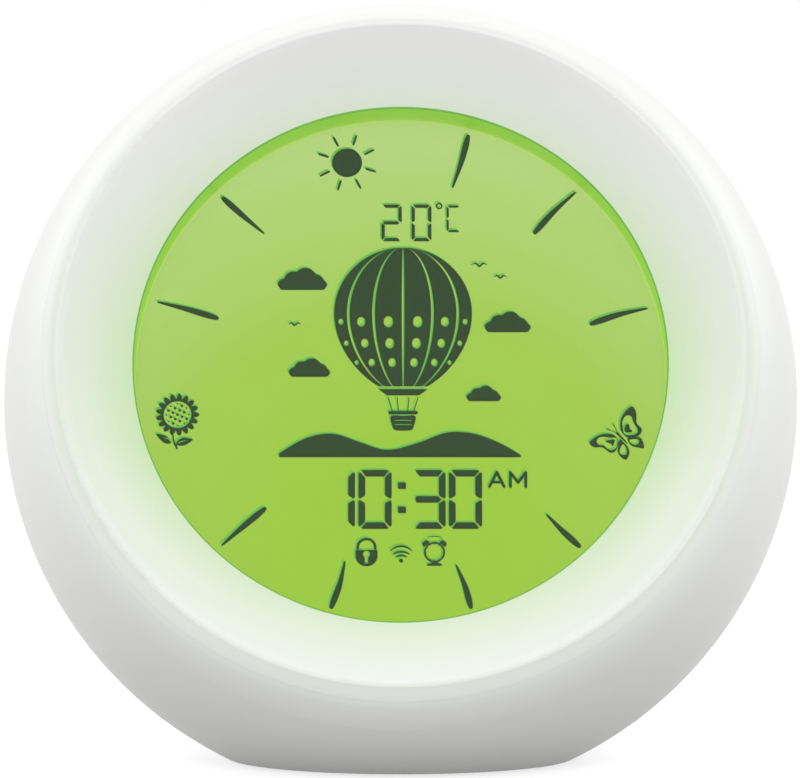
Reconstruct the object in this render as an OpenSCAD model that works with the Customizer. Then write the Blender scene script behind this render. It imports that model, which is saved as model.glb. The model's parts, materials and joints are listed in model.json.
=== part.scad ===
// Kids' alarm clock with a night light: a ball that stands on a flat base, with a
// tilted, dished face around a round display, and a round control panel at the back
// with five sprung buttons, a slide switch, a speaker and a hinged battery door.
// Millimetres. +Z is up and the face looks towards -Y. The origin is the centre of
// the underside of the standing pad.

/* [Ball] */
// Outer diameter of the ball
ball_d = 130; // [128:1:136]
// Wall thickness of the two shells
wall = 2.4; // [2:0.1:2.8]
// How far the two shells part behind the ball's centre
split_y = 12; // [10:0.5:14]
// Hairline between moulded pieces that meet on the outside
seam_gap = 0.07; // [0.05:0.01:0.2]
// Gap round a piece that moves in, or drops into, its opening
fit_gap = 0.3; // [0.2:0.05:0.4]

/* [Face] */
// Angle by which the face looks upwards
face_tilt = 18; // [15:0.5:20]
// Radius of the display opening, as a share of the ball's radius
open_share = 0.6588; // [0.646:0.0002:0.677]
// Distance from the ball's centre to the opening's plane, as a share of that radius
open_depth_share = 0.3677; // [0.36:0.0001:0.375]
// Radius of the hollow curve of the dished face, as a share of that radius
dish_share = 0.448; // [0.435:0.001:0.46]
// Slope of the dish where it meets the display opening
dish_slope = 20.5; // [18:0.5:22]
// Radius of the shoulder between the ridge and the ball, as a share of that radius
shoulder_share = 0.37; // [0.35:0.005:0.4]
// Angle from the face's axis at which the shoulder runs into the ball
shoulder_angle = 68.4; // [68:0.1:69]
// Rounding of the ridge between the dish and the shoulder
ridge_round = 0.7; // [0.5:0.1:1]
// Distance of the ring's seam behind the ridge
seam_drop = 2.2; // [2:0.1:2.5]
// Wall thickness of the face ring
ring_t = 2.2; // [1.8:0.1:2.6]
// Depth of the display behind its opening
recess_depth = 7.4; // [6.8:0.1:7.8]

/* [Display] */
// Thickness of the clear window
window_t = 1.2; // [1:0.1:1.5]
// Thickness of each of the two sheets of display glass
glass_t = 1.1; // [0.9:0.1:1.2]
// Thickness of the light guide behind the glass
guide_t = 2.9; // [2.5:0.1:3.1]
// Thickness of the white reflector sheet
reflector_t = 0.3; // [0.2:0.1:0.5]
// Wall thickness of the display frame
frame_t = 1.6; // [1.4:0.1:1.8]
// Number of lamps round the face ring
glow_count = 12; // [8:1:16]

/* [Control panel] */
// Radius of the round recess for the control panel
panel_r = 36; // [35.5:0.5:38]
// Depth of that recess below its rim
panel_sink = 1.6; // [1.2:0.1:2]
// Thickness of the panel
panel_t = 2.2; // [2:0.1:2.4]
// Number of buttons
button_count = 5; // [5:1:5]
// Radius of a button's cap
button_r = 4.5; // [4:0.1:4.6]
// How far a cap stands out of the panel
button_proud = 1; // [0.9:0.1:1.4]
// Travel of a button
button_travel = 0.8; // [0.5:0.1:0.9]
// Radius of the arc that the buttons stand on
button_arc_r = 27.8; // [27.6:0.1:28.2]
// Travel of the slide switch
slider_travel = 4; // [3:0.5:4.5]
// Radius of the speaker
speaker_r = 10; // [9:0.5:10.5]
// Radius of one hole of the speaker grille
grille_hole_r = 1; // [0.7:0.1:1.2]

/* [Batteries] */
// Radius of a battery cell
cell_r = 5.25; // [5:0.05:5.3]
// Length of a battery cell
cell_len = 44.5; // [43:0.5:45]
// Thickness of the battery door
door_t = 1.8; // [1.6:0.1:2]
// Radius of the door's hinge barrel
barrel_r = 1.6; // [1.5:0.05:1.7]
// Radius of the hinge pins
pin_r = 0.8; // [0.7:0.05:0.9]
// Clearance round a hinge pin
pin_gap = 0.05; // [0.03:0.01:0.08]

/* [Power inlet] */
// Radius of the inlet's bore
inlet_r = 2.8; // [2.6:0.05:2.9]
// Depth of the inlet's bore
inlet_depth = 9.5; // [8:0.5:10]

/* [Base] */
// Radius of the base plate
base_r = 27; // [25:0.5:30]
// Width of the ball's flat rim round the base plate
flat_rim = 1.5; // [1.1:0.1:1.9]
// Thickness of the base plate
base_t = 2.4; // [2.2:0.1:3]
// Width of the base plate that shows round the rubber pad
pad_rim = 6.5; // [6:0.5:8]
// How far the rubber pad stands out of the base
pad_proud = 0.5; // [0.3:0.1:0.8]

/* [Hidden] */
$fn = 96;

// The ball
big = 2 * ball_d;
overlap = 0.5;
ball_r = ball_d / 2;
inner_r = ball_r - wall;
flat_r = base_r + flat_rim;
pad_r = base_r - pad_rim;
ball_z = sqrt(ball_r * ball_r - flat_r * flat_r) + pad_proud;
tongue_t = 1.4;
tongue_len = 3;

// The face, in its own frame: [distance from the axis, distance along the axis]
open_r = open_share * ball_r;
open_w = open_depth_share * ball_r;
dish_r = dish_share * ball_r;
dish_c = [open_r - dish_r * sin(dish_slope), open_w + dish_r * cos(dish_slope)];
shoulder_r = shoulder_share * ball_r;
shoulder_c = (ball_r - shoulder_r) * [sin(shoulder_angle), cos(shoulder_angle)];
ridge_c = shoulder_c + meet(shoulder_r - ridge_round, dish_r + ridge_round, dish_c - shoulder_c);
ridge_in = dish_c + (ridge_c - dish_c) * dish_r / (dish_r + ridge_round);
ridge_out = shoulder_c + (ridge_c - shoulder_c) * shoulder_r / (shoulder_r - ridge_round);
seam_w = ridge_out[1] - seam_drop;
skirt_r = sqrt(inner_r * inner_r - seam_w * seam_w) - fit_gap;
skirt_w = seam_w - 6;

// The stack of the display, from the window back
stack_gap = 0.1;
window_w = open_w - recess_depth - stack_gap - window_t;
glass_w = window_w - 2 * stack_gap - 2 * glass_t;
guide_w = glass_w - stack_gap - guide_t;
reflector_w = guide_w - stack_gap - reflector_t;
frame_w = reflector_w - stack_gap - frame_t;
frame_top_w = window_w + window_t;
frame_r = open_r + 6.2;
frame_in_r = frame_r - frame_t + 0.2;
glass_r = frame_in_r - 0.4;
ledge_w = 12;
ledge_v = 2.2;

// Posts, lugs and screws
post_r = 2.2;
post_d = frame_r + fit_gap + post_r;
post_w = glass_w + 2 * glass_t;
lug_t = 2;
lug_h = 8;
big_shank_r = 1.25;
big_head_r = 2.4;
big_head_h = 1.8;
small_shank_r = 0.85;
small_head_r = 1.8;
small_head_h = 1.2;
screw_gap = 0.05;
shell_screw_d = inner_r - 12.6;
shell_boss_r = 3.6;
shell_tube_r = 4.6;
shell_boss_y = split_y - 6;
shell_seat_y = split_y + 4;
shell_floor_t = 2.5;

// Circuit boards
board_t = 1.6;
main_board_r = frame_r - 7.2;
main_board_w = frame_w - 2.9 - board_t;
main_post_r = main_board_r - 3.6;
main_post_x = main_post_r * cos(38.7);
main_post_v = main_post_r * sin(38.7);
chip_w = 12;
chip_t = 1.4;
radio_w = 16;
radio_l = 22;
radio_t = 0.8;
can_w = 14;
can_l = 15;
can_h = 2.1;
can_inset = 1;
capacitor_r = 2.5;
capacitor_h = 7;
capacitor_places = [[-26, 14], [-18, 14]];
crystal_size = [8, 3.5, 3.5];
crystal_place = [-22, -6];
socket_size = [9, 6, 4];
socket_places = [[-24, -27], [-10, -27], [4, -27]];

cable_w = 10;
cable_v = 24;
cable_drop = 4;

// The control panel, in its own frame: [x, height, distance along the axis]
panel_y = sqrt(ball_r * ball_r - panel_r * panel_r) - panel_sink;
panel_back = panel_y - panel_t;
panel_wall_t = 2.2;
lip_round = 0.8;
lip_c = [panel_r + lip_round,
         sqrt(pow(ball_r - lip_round, 2) - pow(panel_r + lip_round, 2))];
lip_out = lip_c * ball_r / (ball_r - lip_round);
bay_top = -2;
box_t = 1.5;
rib_t = 0.8;
button_angle = 27.5;
flange_r = button_r + 1.3;
flange_t = 1;
stem_r = 1.6;
switch_h = 3.5;
switch_w = 6;
board_back = panel_back - 8.4;
board_front = board_back + board_t;
stem_end = board_front + switch_h - 2;
slider_x = 0.75 * panel_r;
slide_switch_h = 10;
slider_y = bay_top + box_t + fit_gap + slide_switch_h / 2;
slider_w = 3.2;
slider_knob_h = 4;
slider_slot_h = slider_knob_h + slider_travel + 2 * fit_gap;
speaker_y = bay_top + box_t + fit_gap + speaker_r + 0.2 + rib_t;
grille_pitch = 3.3;
vent_w = 1.2;
vent_h = 7;
board_post_r = 2;
board_post_d = panel_r - 4.5;
board_post_a = 48.75;
board_posts = [[panel_r / 2, 4],
               [board_post_d * cos(board_post_a), board_post_d * sin(board_post_a)]];

// Battery compartment, in the control panel's frame
cell_pitch = 2 * cell_r + 0.7;
bay_h = 2 * cell_pitch + 0.5;
bay_low = bay_top - bay_h;
bay_w = cell_len + 4.7;
bay_corner = 1.5;
hinge_y = bay_low + fit_gap + barrel_r;
hinge_z = panel_y - barrel_r;
cell_z = panel_y - door_t - 0.6 - cell_r;
cell_mid = bay_top - bay_h / 2;
box_floor = cell_z - cell_r - 0.15;
pin_len = 2;
plate_t = 0.4;
plate_w = 8;
ear_x = bay_w / 2 + box_t + 3.5;
ear_y = -9;
ear_t = 2;
spring_wire_r = 0.3;
spring_turns = 3.5;
spring_room = bay_w - cell_len - 2 * plate_t;
spring_len = spring_room - 2 * spring_wire_r - stack_gap;

// Power inlet
inlet_body_r = inlet_r + 0.9;
inlet_shoulder = 0.6;
inlet_y = bay_low - box_t - fit_gap - inlet_body_r - inlet_shoulder;
inlet_len = inlet_depth + 2.5;

// Base
base_flange_r = base_r + 2.6;
base_flange_z = pad_proud + 3.5;
base_top_z = pad_proud + 5.1;
base_screw_d = pad_r + 3.4;
base_lug_t = 3;
base_lug_h = 7;

white = "white";
inner_white = "whitesmoke";
board_green = "seagreen";
metal = "silver";
dark = [0.12, 0.12, 0.13];

// Where the circle of radius a round the origin meets the one of radius b round c
function meet(a, b, c) =
    let (d = norm(c),
         k = (a * a - b * b + d * d) / (2 * d),
         h = sqrt(a * a - k * k),
         u = c / d)
    k * u + h * [u[1], -u[0]];

// A point on the cubic curve with the control points p
function bezier(p, t) =
    pow(1 - t, 3) * p[0] + 3 * t * pow(1 - t, 2) * p[1]
    + 3 * t * t * (1 - t) * p[2] + pow(t, 3) * p[3];

// Unit normal of that curve
function bezier_normal(p, t) =
    let (q = bezier(p, t + 0.001) - bezier(p, t - 0.001))
    [-q[1], q[0]] / norm(q);

// Frame of the tilted face: Z is its axis, outwards, and Y points up the face
module in_face() {
    translate([0, 0, ball_z])
        rotate([90 - face_tilt, 0, 0])
            children();
}

// Frame of the control panel: Z points backwards and Y points up
module in_panel() {
    translate([0, 0, ball_z])
        rotate([90, 0, 180])
            children();
}

// A mirrored pair, left and right
module left_and_right() {
    children();
    mirror([1, 0, 0]) children();
}

// The part of the drawing plane to the right of the axis
module right_half() {
    translate([0, -big / 2]) square(big);
}

module rounded_rect(w, h, r) {
    square([w - 2 * r, h], center = true);
    square([w, h - 2 * r], center = true);
    for (x = [-1, 1], y = [-1, 1])
        translate([x * (w / 2 - r), y * (h / 2 - r)])
            circle(r, $fn = 32);
}

// A flat strip that follows a cubic curve, drawn in a plane and then made w wide
module curved_strip(p, t, w, steps = 20) {
    there = [for (i = [0 : steps]) bezier(p, i / steps) + bezier_normal(p, i / steps) * t / 2];
    back = [for (i = [steps : -1 : 0]) bezier(p, i / steps) - bezier_normal(p, i / steps) * t / 2];
    linear_extrude(w, center = true) polygon(concat(there, back));
}

// A cross-head screw whose head sits on the plane z = 0 and whose shank points to -Z
module screw(shank_r, shank_len, head_r, head_h) {
    slot = head_r * 0.35;
    difference() {
        union() {
            cylinder(r = head_r, h = head_h * 0.6);
            translate([0, 0, head_h * 0.6]) cylinder(r1 = head_r, r2 = head_r * 0.75, h = head_h * 0.4);
        }
        for (a = [0, 90])
            rotate(a)
                translate([-head_r * 0.6, -slot / 2, head_h * 0.45])
                    cube([head_r * 1.2, slot, head_h]);
    }
    translate([0, 0, -shank_len + shank_r])
        cylinder(r = shank_r, h = shank_len - shank_r + overlap / 2);
    translate([0, 0, -shank_len])
        cylinder(r1 = shank_r * 0.3, r2 = shank_r, h = shank_r);
}

// ---- The two shells ----

module ball_section() {
    difference() {
        circle(ball_r, $fn = 180);
        circle(inner_r, $fn = 180);
    }
}

// Places of the four long screws that join the shells
module shell_screw_places() {
    in_panel()
        for (a = [45 : 90 : 315])
            rotate(a)
                translate([shell_screw_d, 0, 0])
                    children();
}

// Places of the eight posts behind the face ring: the odd ones carry the display
// frame, the even ones meet the lugs of the front shell
module ring_post_places(first) {
    in_face()
        for (a = [first : 90 : 359])
            rotate(a)
                translate([post_d, 0, post_w])
                    children();
}

module base_screw_places(angles) {
    for (a = angles)
        rotate(a)
            translate([base_screw_d, 0, 0])
                children();
}

// Lugs that reach in from the wall over the base plate
module base_lugs(angles) {
    intersection() {
        base_screw_places(angles)
            translate([-base_lug_h / 2, -base_lug_h / 2, base_top_z + fit_gap])
                cube([big, base_lug_h, base_lug_t]);
        translate([0, 0, ball_z]) sphere(inner_r + overlap, $fn = 180);
    }
}

module base_lug_holes(angles) {
    base_screw_places(angles)
        cylinder(r = small_shank_r + screw_gap, h = base_top_z + fit_gap + base_lug_t + 1);
}

// Everything under the flat of the base, and the round opening for its plate
module base_cut() {
    translate([-big / 2, -big / 2, pad_proud - big])
        cube([big, big, big]);
    translate([0, 0, -1])
        cylinder(r = base_r + seam_gap, h = base_top_z);
}

// The outline of the ball in the face's frame, with the shoulder round the ridge
module ball_outline() {
    translate(shoulder_c) circle(shoulder_r, $fn = 180);
    difference() {
        circle(ball_r, $fn = 180);
        polygon([[0, 0], big * [sin(shoulder_angle), cos(shoulder_angle)], [0, big]]);
    }
}

module front_shell_section() {
    intersection() {
        difference() {
            ball_outline();
            circle(inner_r, $fn = 180);
        }
        right_half();
        translate([0, seam_w - big]) square(big);
    }
}

// Lip that steps inside the rear shell
module tongue_section() {
    end_r = sqrt(pow(inner_r, 2) - pow(split_y + tongue_len, 2)) - fit_gap / 2;
    translate([end_r - tongue_t, split_y - tongue_len])
        square([tongue_t, 2 * tongue_len]);
    intersection() {
        circle(inner_r + overlap, $fn = 180);
        translate([end_r - tongue_t, split_y - tongue_len]) square([wall + tongue_t + 2, tongue_len]);
    }
}

module front_bosses() {
    shell_screw_places() {
        translate([0, 0, shell_boss_y]) cylinder(r = shell_boss_r, h = shell_seat_y - shell_boss_y);
    }
    intersection() {
        shell_screw_places()
            translate([0, -1, shell_boss_y]) cube([big, 2, split_y - 1 - shell_boss_y]);
        translate([0, 0, ball_z]) sphere(inner_r + overlap, $fn = 180);
    }
}

module front_lugs() {
    intersection() {
        in_face()
            for (a = [45 : 90 : 315])
                rotate(a)
                    translate([frame_r + fit_gap, -lug_h / 2, post_w - stack_gap - lug_t])
                        cube([big, lug_h, lug_t]);
        translate([0, 0, ball_z]) sphere(inner_r + overlap, $fn = 180);
    }
}

module front_shell() {
    color(white)
    difference() {
        union() {
            intersection() {
                in_face() rotate_extrude($fn = 180) front_shell_section();
                translate([-big / 2, split_y - big, 0]) cube(big);
            }
            difference() {
                in_panel() rotate_extrude($fn = 180) tongue_section();
                translate([-base_flange_r - 3, -big / 2, -big + base_top_z + 8]) cube([2 * base_flange_r + 6, big, big]);
            }
            front_bosses();
            front_lugs();
            base_lugs([225, 315]);
        }
        base_cut();
        base_lug_holes([225, 315]);
        shell_screw_places()
            translate([0, 0, shell_boss_y + 1]) cylinder(r = big_shank_r + screw_gap, h = 20);
        ring_post_places(45)
            translate([0, 0, -lug_t - 1]) cylinder(r = big_shank_r + fit_gap, h = lug_t + 2);
    }
}

module rear_shell_section() {
    intersection() {
        right_half();
        union() {
            difference() {
                union() {
                    ball_section();
                    intersection() {
                        circle(ball_r - overlap / 5, $fn = 180);
                        translate([0, panel_back]) square([panel_r + panel_wall_t, big]);
                    }
                }
                translate([-1, panel_y]) square([panel_r + 1, big]);
                polygon([lip_c, lip_out, lip_out + [0, 5], [panel_r - 1, lip_out[1] + 5],
                         [panel_r - 1, lip_c[1]]]);
            }
            translate(lip_c) circle(lip_round, $fn = 48);
        }
    }
}

// Places of the buttons, from the right to the left as seen from behind
module button_place(i) {
    a = 90 + (i - (button_count + 1) / 2) * button_angle;
    in_panel()
        translate([button_arc_r * cos(a), button_arc_r * sin(a), 0])
            children();
}

module grille_holes() {
    translate([0, speaker_y, panel_back - 1]) {
        cylinder(r = grille_hole_r, h = panel_t + 2, $fn = 24);
        for (ring = [1, 2], k = [0 : 6 * ring - 1])
            rotate(k * 60 / ring)
                translate([ring * grille_pitch, 0, 0])
                    cylinder(r = grille_hole_r, h = panel_t + 2, $fn = 24);
    }
}

module vent_slots() {
    for (k = [-1, 0, 1])
        translate([slider_x + 2.6 * k, slider_y, panel_back - 1])
            linear_extrude(panel_t + 2)
                rounded_rect(vent_w, vent_h, vent_w / 2 - 0.01);
}

// Opening of the battery compartment; its lower edge clears the door's barrel
module bay_opening() {
    translate([0, cell_mid, panel_back - 1])
        linear_extrude(panel_t + 2) {
            rounded_rect(bay_w, bay_h, bay_corner);
            translate([-bay_w / 2, -bay_h / 2]) square([bay_w, bay_h / 2]);
        }
}

// A shallow scoop for a fingertip above the door
module finger_scoop() {
    scoop_r = 9;
    translate([0, bay_top, panel_y + scoop_r - 1])
        sphere(scoop_r, $fn = 64);
}

module hinge_lugs() {
    lug_w = pin_len + 1.2;
    left_and_right()
        translate([bay_w / 2, hinge_y - 2.4, hinge_z - pin_r - 1.4])
            cube([lug_w, 4.8, panel_y - hinge_z + pin_r + 1]);
}

module board_post_places() {
    in_panel()
        left_and_right()
            for (p = board_posts)
                translate(p)
                    children();
}

module ear_post_places() {
    in_panel()
        left_and_right()
            translate([ear_x, ear_y, 0])
                children();
}

module rear_shell() {
    color(white)
    difference() {
        union() {
            intersection() {
                in_panel() rotate_extrude($fn = 180) rear_shell_section();
                translate([-big / 2, split_y + seam_gap, 0]) cube(big);
            }
            intersection() {
                shell_screw_places()
                    translate([0, 0, shell_seat_y]) cylinder(r = shell_tube_r, h = big / 2);
                translate([0, 0, ball_z]) sphere(inner_r + overlap, $fn = 180);
            }
            board_post_places()
                translate([0, 0, board_front]) cylinder(r = board_post_r, h = panel_back - board_front + overlap);
            ear_post_places()
                translate([0, 0, box_ear_front()]) cylinder(r = board_post_r, h = panel_back - box_ear_front() + overlap);
            in_panel() {
                hinge_lugs();
                translate([0, speaker_y, panel_back - 2])
                    difference() {
                        cylinder(r = speaker_r + 0.2 + rib_t, h = 2 + overlap);
                        translate([0, 0, -1]) cylinder(r = speaker_r + 0.2, h = 3);
                    }
            }
            base_lugs([45, 135]);
        }
        base_cut();
        base_lug_holes([45, 135]);
        shell_screw_places() {
            translate([0, 0, shell_seat_y + shell_floor_t]) cylinder(r = big_head_r + 0.6, h = big / 2);
            cylinder(r = big_shank_r + fit_gap, h = big / 2);
        }
        for (i = [1 : button_count])
            button_place(i)
                translate([0, 0, panel_back - 1]) cylinder(r = button_r + fit_gap, h = panel_t + 2);
        board_post_places()
            translate([0, 0, board_front - 1]) cylinder(r = small_shank_r + screw_gap, h = 6);
        ear_post_places()
            translate([0, 0, box_ear_front() - 1]) cylinder(r = small_shank_r + screw_gap, h = 4);
        in_panel() {
            grille_holes();
            vent_slots();
            bay_opening();
            finger_scoop();
            translate([-slider_x, slider_y, panel_back - 1])
                linear_extrude(panel_t + 2)
                    rounded_rect(slider_w + 2 * fit_gap, slider_slot_h, 1);
            translate([0, inlet_y, panel_back - 1]) cylinder(r = inlet_body_r + fit_gap, h = panel_t + 2);
            translate([0, hinge_y, hinge_z])
                rotate([0, 90, 0])
                    cylinder(r = pin_r + pin_gap, h = bay_w + 2 * pin_len + 2 * pin_gap, center = true);
        }
    }
}

// ---- The face and the display ----

module ring_section() {
    intersection() {
        right_half();
        union() {
            translate([0, seam_w + seam_gap]) square(big);
            square([skirt_r, big]);
        }
        union() {
            difference() {
                union() {
                    intersection() {
                        ball_outline();
                        translate(dish_c) circle(dish_r + ring_t, $fn = 180);
                        translate([open_r, 0]) square(big);
                    }
                    intersection() {
                        ball_outline();
                        translate([skirt_r - ring_t, skirt_w]) square([big, ridge_c[1] - skirt_w]);
                    }
                    translate([open_r, open_w - recess_depth]) square([ring_t, recess_depth + 0.2]);
                }
                translate(dish_c) circle(dish_r, $fn = 180);
                polygon([ridge_c, ridge_out, ridge_out + [1, 6], ridge_in + [-1, 6], ridge_in]);
            }
            translate(ridge_c) circle(ridge_round, $fn = 64);
        }
    }
}

module face_ring() {
    color(white)
    difference() {
        union() {
            in_face() rotate_extrude($fn = 180) ring_section();
            difference() {
                union() {
                    ring_post_places(0) cylinder(r = post_r, h = 16);
                    ring_post_places(45) cylinder(r = post_r, h = 16);
                }
                in_face()
                    rotate_extrude($fn = 180)
                        intersection() {
                            right_half();
                            translate(dish_c) circle(dish_r + ring_t / 2, $fn = 180);
                        }
            }
        }
        for (first = [0, 45])
            ring_post_places(first)
                translate([0, 0, -1]) cylinder(r = big_shank_r + screw_gap, h = 8);
    }
}

module display_window() {
    color([0.8, 0.9, 0.8, 0.4])
    in_face()
        translate([0, 0, window_w]) cylinder(r = glass_r, h = window_t, $fn = 180);
}

// The outline of the display glass: an octagon with flats at the top and bottom
module glass_outline(r) {
    rotate(22.5) circle(r, $fn = 8);
}

module lcd_panel() {
    color([0.55, 0.75, 0.35])
    in_face() {
        translate([0, 0, glass_w + glass_t + stack_gap])
            linear_extrude(glass_t) glass_outline(glass_r);
        translate([0, 0, glass_w])
            linear_extrude(glass_t) {
                glass_outline(glass_r);
                translate([-ledge_w, -glass_r * cos(22.5) - ledge_v]) square([2 * ledge_w, ledge_v + 1]);
            }
    }
}

module light_guide() {
    color("palegreen")
    in_face()
        translate([0, 0, guide_w])
            linear_extrude(guide_t) glass_outline(glass_r - 0.3);
}

module reflector_sheet() {
    color(inner_white)
    in_face()
        translate([0, 0, reflector_w])
            linear_extrude(reflector_t) glass_outline(glass_r - 0.3);
}

// Lamps that shine into the top edge of the light guide, on their strip
module backlight_strip() {
    strip_v = glass_r * cos(22.5) + 1.4;
    color("gold")
    in_face() {
        translate([-ledge_w, strip_v, guide_w + 0.2]) cube([2 * ledge_w, 0.8, 2.4]);
        for (x = [-9 : 6 : 9])
            translate([x - 1.5, strip_v - 1.2, guide_w + 0.5]) cube([3, 1.2, 1.8]);
    }
}

module display_frame() {
    color(inner_white)
    difference() {
        union() {
            in_face() {
                translate([0, 0, frame_w])
                    difference() {
                        cylinder(r = frame_r, h = frame_top_w - frame_w, $fn = 180);
                        translate([0, 0, frame_t]) cylinder(r = frame_in_r, h = big, $fn = 180);
                    }
                for (x = [-1, 1], v = [-1, 1])
                    translate([x * main_post_x, v * main_post_v, main_board_w + board_t])
                        cylinder(r = 2.5, h = frame_w - main_board_w - board_t + overlap);
            }
            ring_post_places(0) {
                translate([-post_r - 1.5, -lug_h / 2, -stack_gap - lug_t]) cube([post_r + 1.5, lug_h, lug_t]);
                translate([0, 0, -stack_gap - lug_t]) cylinder(r = lug_h / 2, h = lug_t);
            }
        }
        // the hollow again, so that the ears do not reach into it
        in_face() {
            translate([0, 0, frame_w + frame_t]) cylinder(r = frame_in_r, h = big, $fn = 180);
            // slot for the display's ribbon
            translate([-ledge_w, -frame_in_r, frame_w - 1]) cube([2 * ledge_w, ledge_v + 1.8, frame_t + 2]);
            for (x = [-1, 1], v = [-1, 1])
                translate([x * main_post_x, v * main_post_v, main_board_w])
                    cylinder(r = small_shank_r + screw_gap, h = 5.4);
        }
        ring_post_places(0)
            translate([0, 0, -lug_t - 1]) cylinder(r = big_shank_r + fit_gap, h = lug_t + 2);
    }
}

// Ring of lamps between the display frame and the face ring
module glow_board() {
    color(inner_white)
    in_face()
        translate([0, 0, frame_top_w + stack_gap])
            difference() {
                cylinder(r = frame_r, h = 1, $fn = 180);
                translate([0, 0, -1]) cylinder(r = open_r + ring_t + fit_gap, h = 3, $fn = 180);
            }
}

module glow_leds() {
    color("palegreen")
    in_face()
        for (k = [0 : glow_count - 1])
            rotate((k + 0.5) * 360 / glow_count)
                translate([open_r + ring_t + 1, -1.6, frame_top_w + stack_gap + 1])
                    cube([2.6, 3.2, 1.2]);
}

// ---- The main board ----

module main_board_outline() {
    intersection() {
        circle(main_board_r);
        square([2 * main_board_r, 1.7 * main_board_r], center = true);
    }
}

module main_board() {
    color(board_green)
    in_face()
        translate([0, 0, main_board_w])
            linear_extrude(board_t)
                difference() {
                    main_board_outline();
                    for (x = [-1, 1], v = [-1, 1])
                        translate([x * main_post_x, v * main_post_v]) circle(small_shank_r + fit_gap);
                }
}

module main_chip() {
    color(dark)
    in_face()
        translate([-chip_w / 2 - 4, -chip_w / 4, main_board_w - chip_t]) cube([chip_w, chip_w, chip_t]);
}

// Radio module with its metal can on a small board
module radio_module() {
    color(metal)
    in_face()
        translate([chip_w / 2 + 3, 2, main_board_w - radio_t]) {
            cube([radio_w, radio_l, radio_t]);
            translate([can_inset, can_inset, -can_h]) cube([can_w, can_l, can_h + overlap / 5]);
        }
}

// Capacitors, crystal and connectors on the main board
module board_parts() {
    color(dark)
    in_face() {
        for (p = capacitor_places)
            translate([p[0], p[1], main_board_w - capacitor_h])
                cylinder(r = capacitor_r, h = capacitor_h, $fn = 48);
        translate([crystal_place[0], crystal_place[1], main_board_w - crystal_size[2]]) cube(crystal_size);
        for (p = socket_places)
            translate([p[0], p[1], main_board_w - socket_size[2]]) cube(socket_size);
    }
}

// Flat ribbon from the ledge of the rear glass to the main board
module lcd_ribbon() {
    v0 = -frame_in_r + ledge_v;
    color("darkorange")
    in_face()
        rotate([90, 0, 90])
            curved_strip([[v0, glass_w - stack_gap],
                          [v0, frame_w - 4],
                          [v0, main_board_w - 5],
                          [socket_places[1][1] - stack_gap, main_board_w - socket_size[2] / 2]],
                         0.3, 2 * ledge_w - 2);
}

// ---- The control panel ----

module button_board() {
    color(board_green)
    difference() {
        in_panel()
            translate([0, 0, board_back])
                linear_extrude(board_t)
                    difference() {
                        intersection() {
                            circle(panel_r - 2.2);
                            translate([-panel_r, bay_top + box_t + 1.1]) square([2 * panel_r, panel_r]);
                        }
                        translate([0, speaker_y]) circle(speaker_r + 0.8);
                    }
        board_post_places() cylinder(r = small_shank_r + fit_gap, h = big);
    }
}

module button_switches() {
    color(dark)
    for (i = [1 : button_count])
        button_place(i)
            difference() {
                translate([-switch_w / 2, -switch_w / 2, board_front]) cube([switch_w, switch_w, switch_h]);
                translate([0, 0, stem_end - button_travel - 0.2])
                    cylinder(r = stem_r + fit_gap, h = big);
            }
}

module slide_switch() {
    color(metal)
    in_panel()
        difference() {
            translate([-slider_x - 2.6, slider_y - slide_switch_h / 2, board_front])
                cube([5.2, slide_switch_h, 3]);
            translate([-slider_x, slider_y, board_front + 0.8])
                linear_extrude(big)
                    square([1.6 + 2 * fit_gap, 1.6 + slider_travel + 2 * fit_gap], center = true);
        }
}

module button_section() {
    edge = 0.7;
    top = panel_y + button_proud;
    translate([0, stem_end]) square([stem_r, top - stem_end - 1]);
    translate([0, panel_back - fit_gap - flange_t]) square([flange_r, flange_t]);
    translate([0, panel_back - fit_gap - flange_t]) square([button_r - edge, top - panel_back + fit_gap + flange_t]);
    translate([0, panel_back - fit_gap - flange_t]) square([button_r, top - edge - panel_back + fit_gap + flange_t]);
    translate([button_r - edge, top - edge]) circle(edge, $fn = 32);
}

module button(i) {
    color("gainsboro")
    button_place(i)
        difference() {
            rotate_extrude() button_section();
            // the top is slightly hollow for the fingertip
            translate([0, 0, panel_y + button_proud + 17.6]) sphere(18, $fn = 96);
        }
}

module lock_slider() {
    knob = panel_y + 1.2;
    color("gainsboro")
    in_panel()
        translate([-slider_x, slider_y - slider_travel / 2, 0])
            difference() {
                union() {
                    translate([-slider_w / 2, -slider_knob_h / 2, panel_back - fit_gap - 1])
                        cube([slider_w, slider_knob_h, knob - panel_back + fit_gap + 1]);
                    translate([-slider_w / 2 - 1.2, -slider_knob_h / 2 - 0.8, panel_back - fit_gap - 1])
                        cube([slider_w + 2.4, slider_knob_h + 1.6, 1]);
                    translate([-0.8, -0.8, board_front + 1.4])
                        cube([1.6, 1.6, panel_back - board_front - 2]);
                }
                for (k = [-1, 0, 1])
                    translate([-slider_w, k * 1.1 - 0.25, knob - 0.4]) cube([2 * slider_w, 0.5, 1]);
            }
}

module speaker_basket() {
    color(dark)
    in_panel()
        translate([0, speaker_y, panel_back - stack_gap])
            rotate_extrude()
                difference() {
                    polygon([[0, -6], [speaker_r - 3, -6], [speaker_r - 0.4, -2.2], [speaker_r, -2],
                             [speaker_r, 0], [0, 0]]);
                    polygon([[-1, -5.2], [speaker_r - 3.6, -5.2], [speaker_r - 1.5, -1.2],
                             [speaker_r - 1.5, 1], [-1, 1]]);
                }
}

module speaker_cone() {
    top = panel_back - stack_gap;
    color("dimgray")
    in_panel()
        translate([0, speaker_y, top])
            rotate_extrude()
                polygon([[0, -2.4], [2.6, -3.2], [3, -3.2], [speaker_r - 2.6, -0.9],
                         [speaker_r - 1.7, -0.9], [speaker_r - 1.9, -1.3], [speaker_r - 2.8, -1.6],
                         [3, -4], [2.4, -4], [0, -3]]);
}

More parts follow.
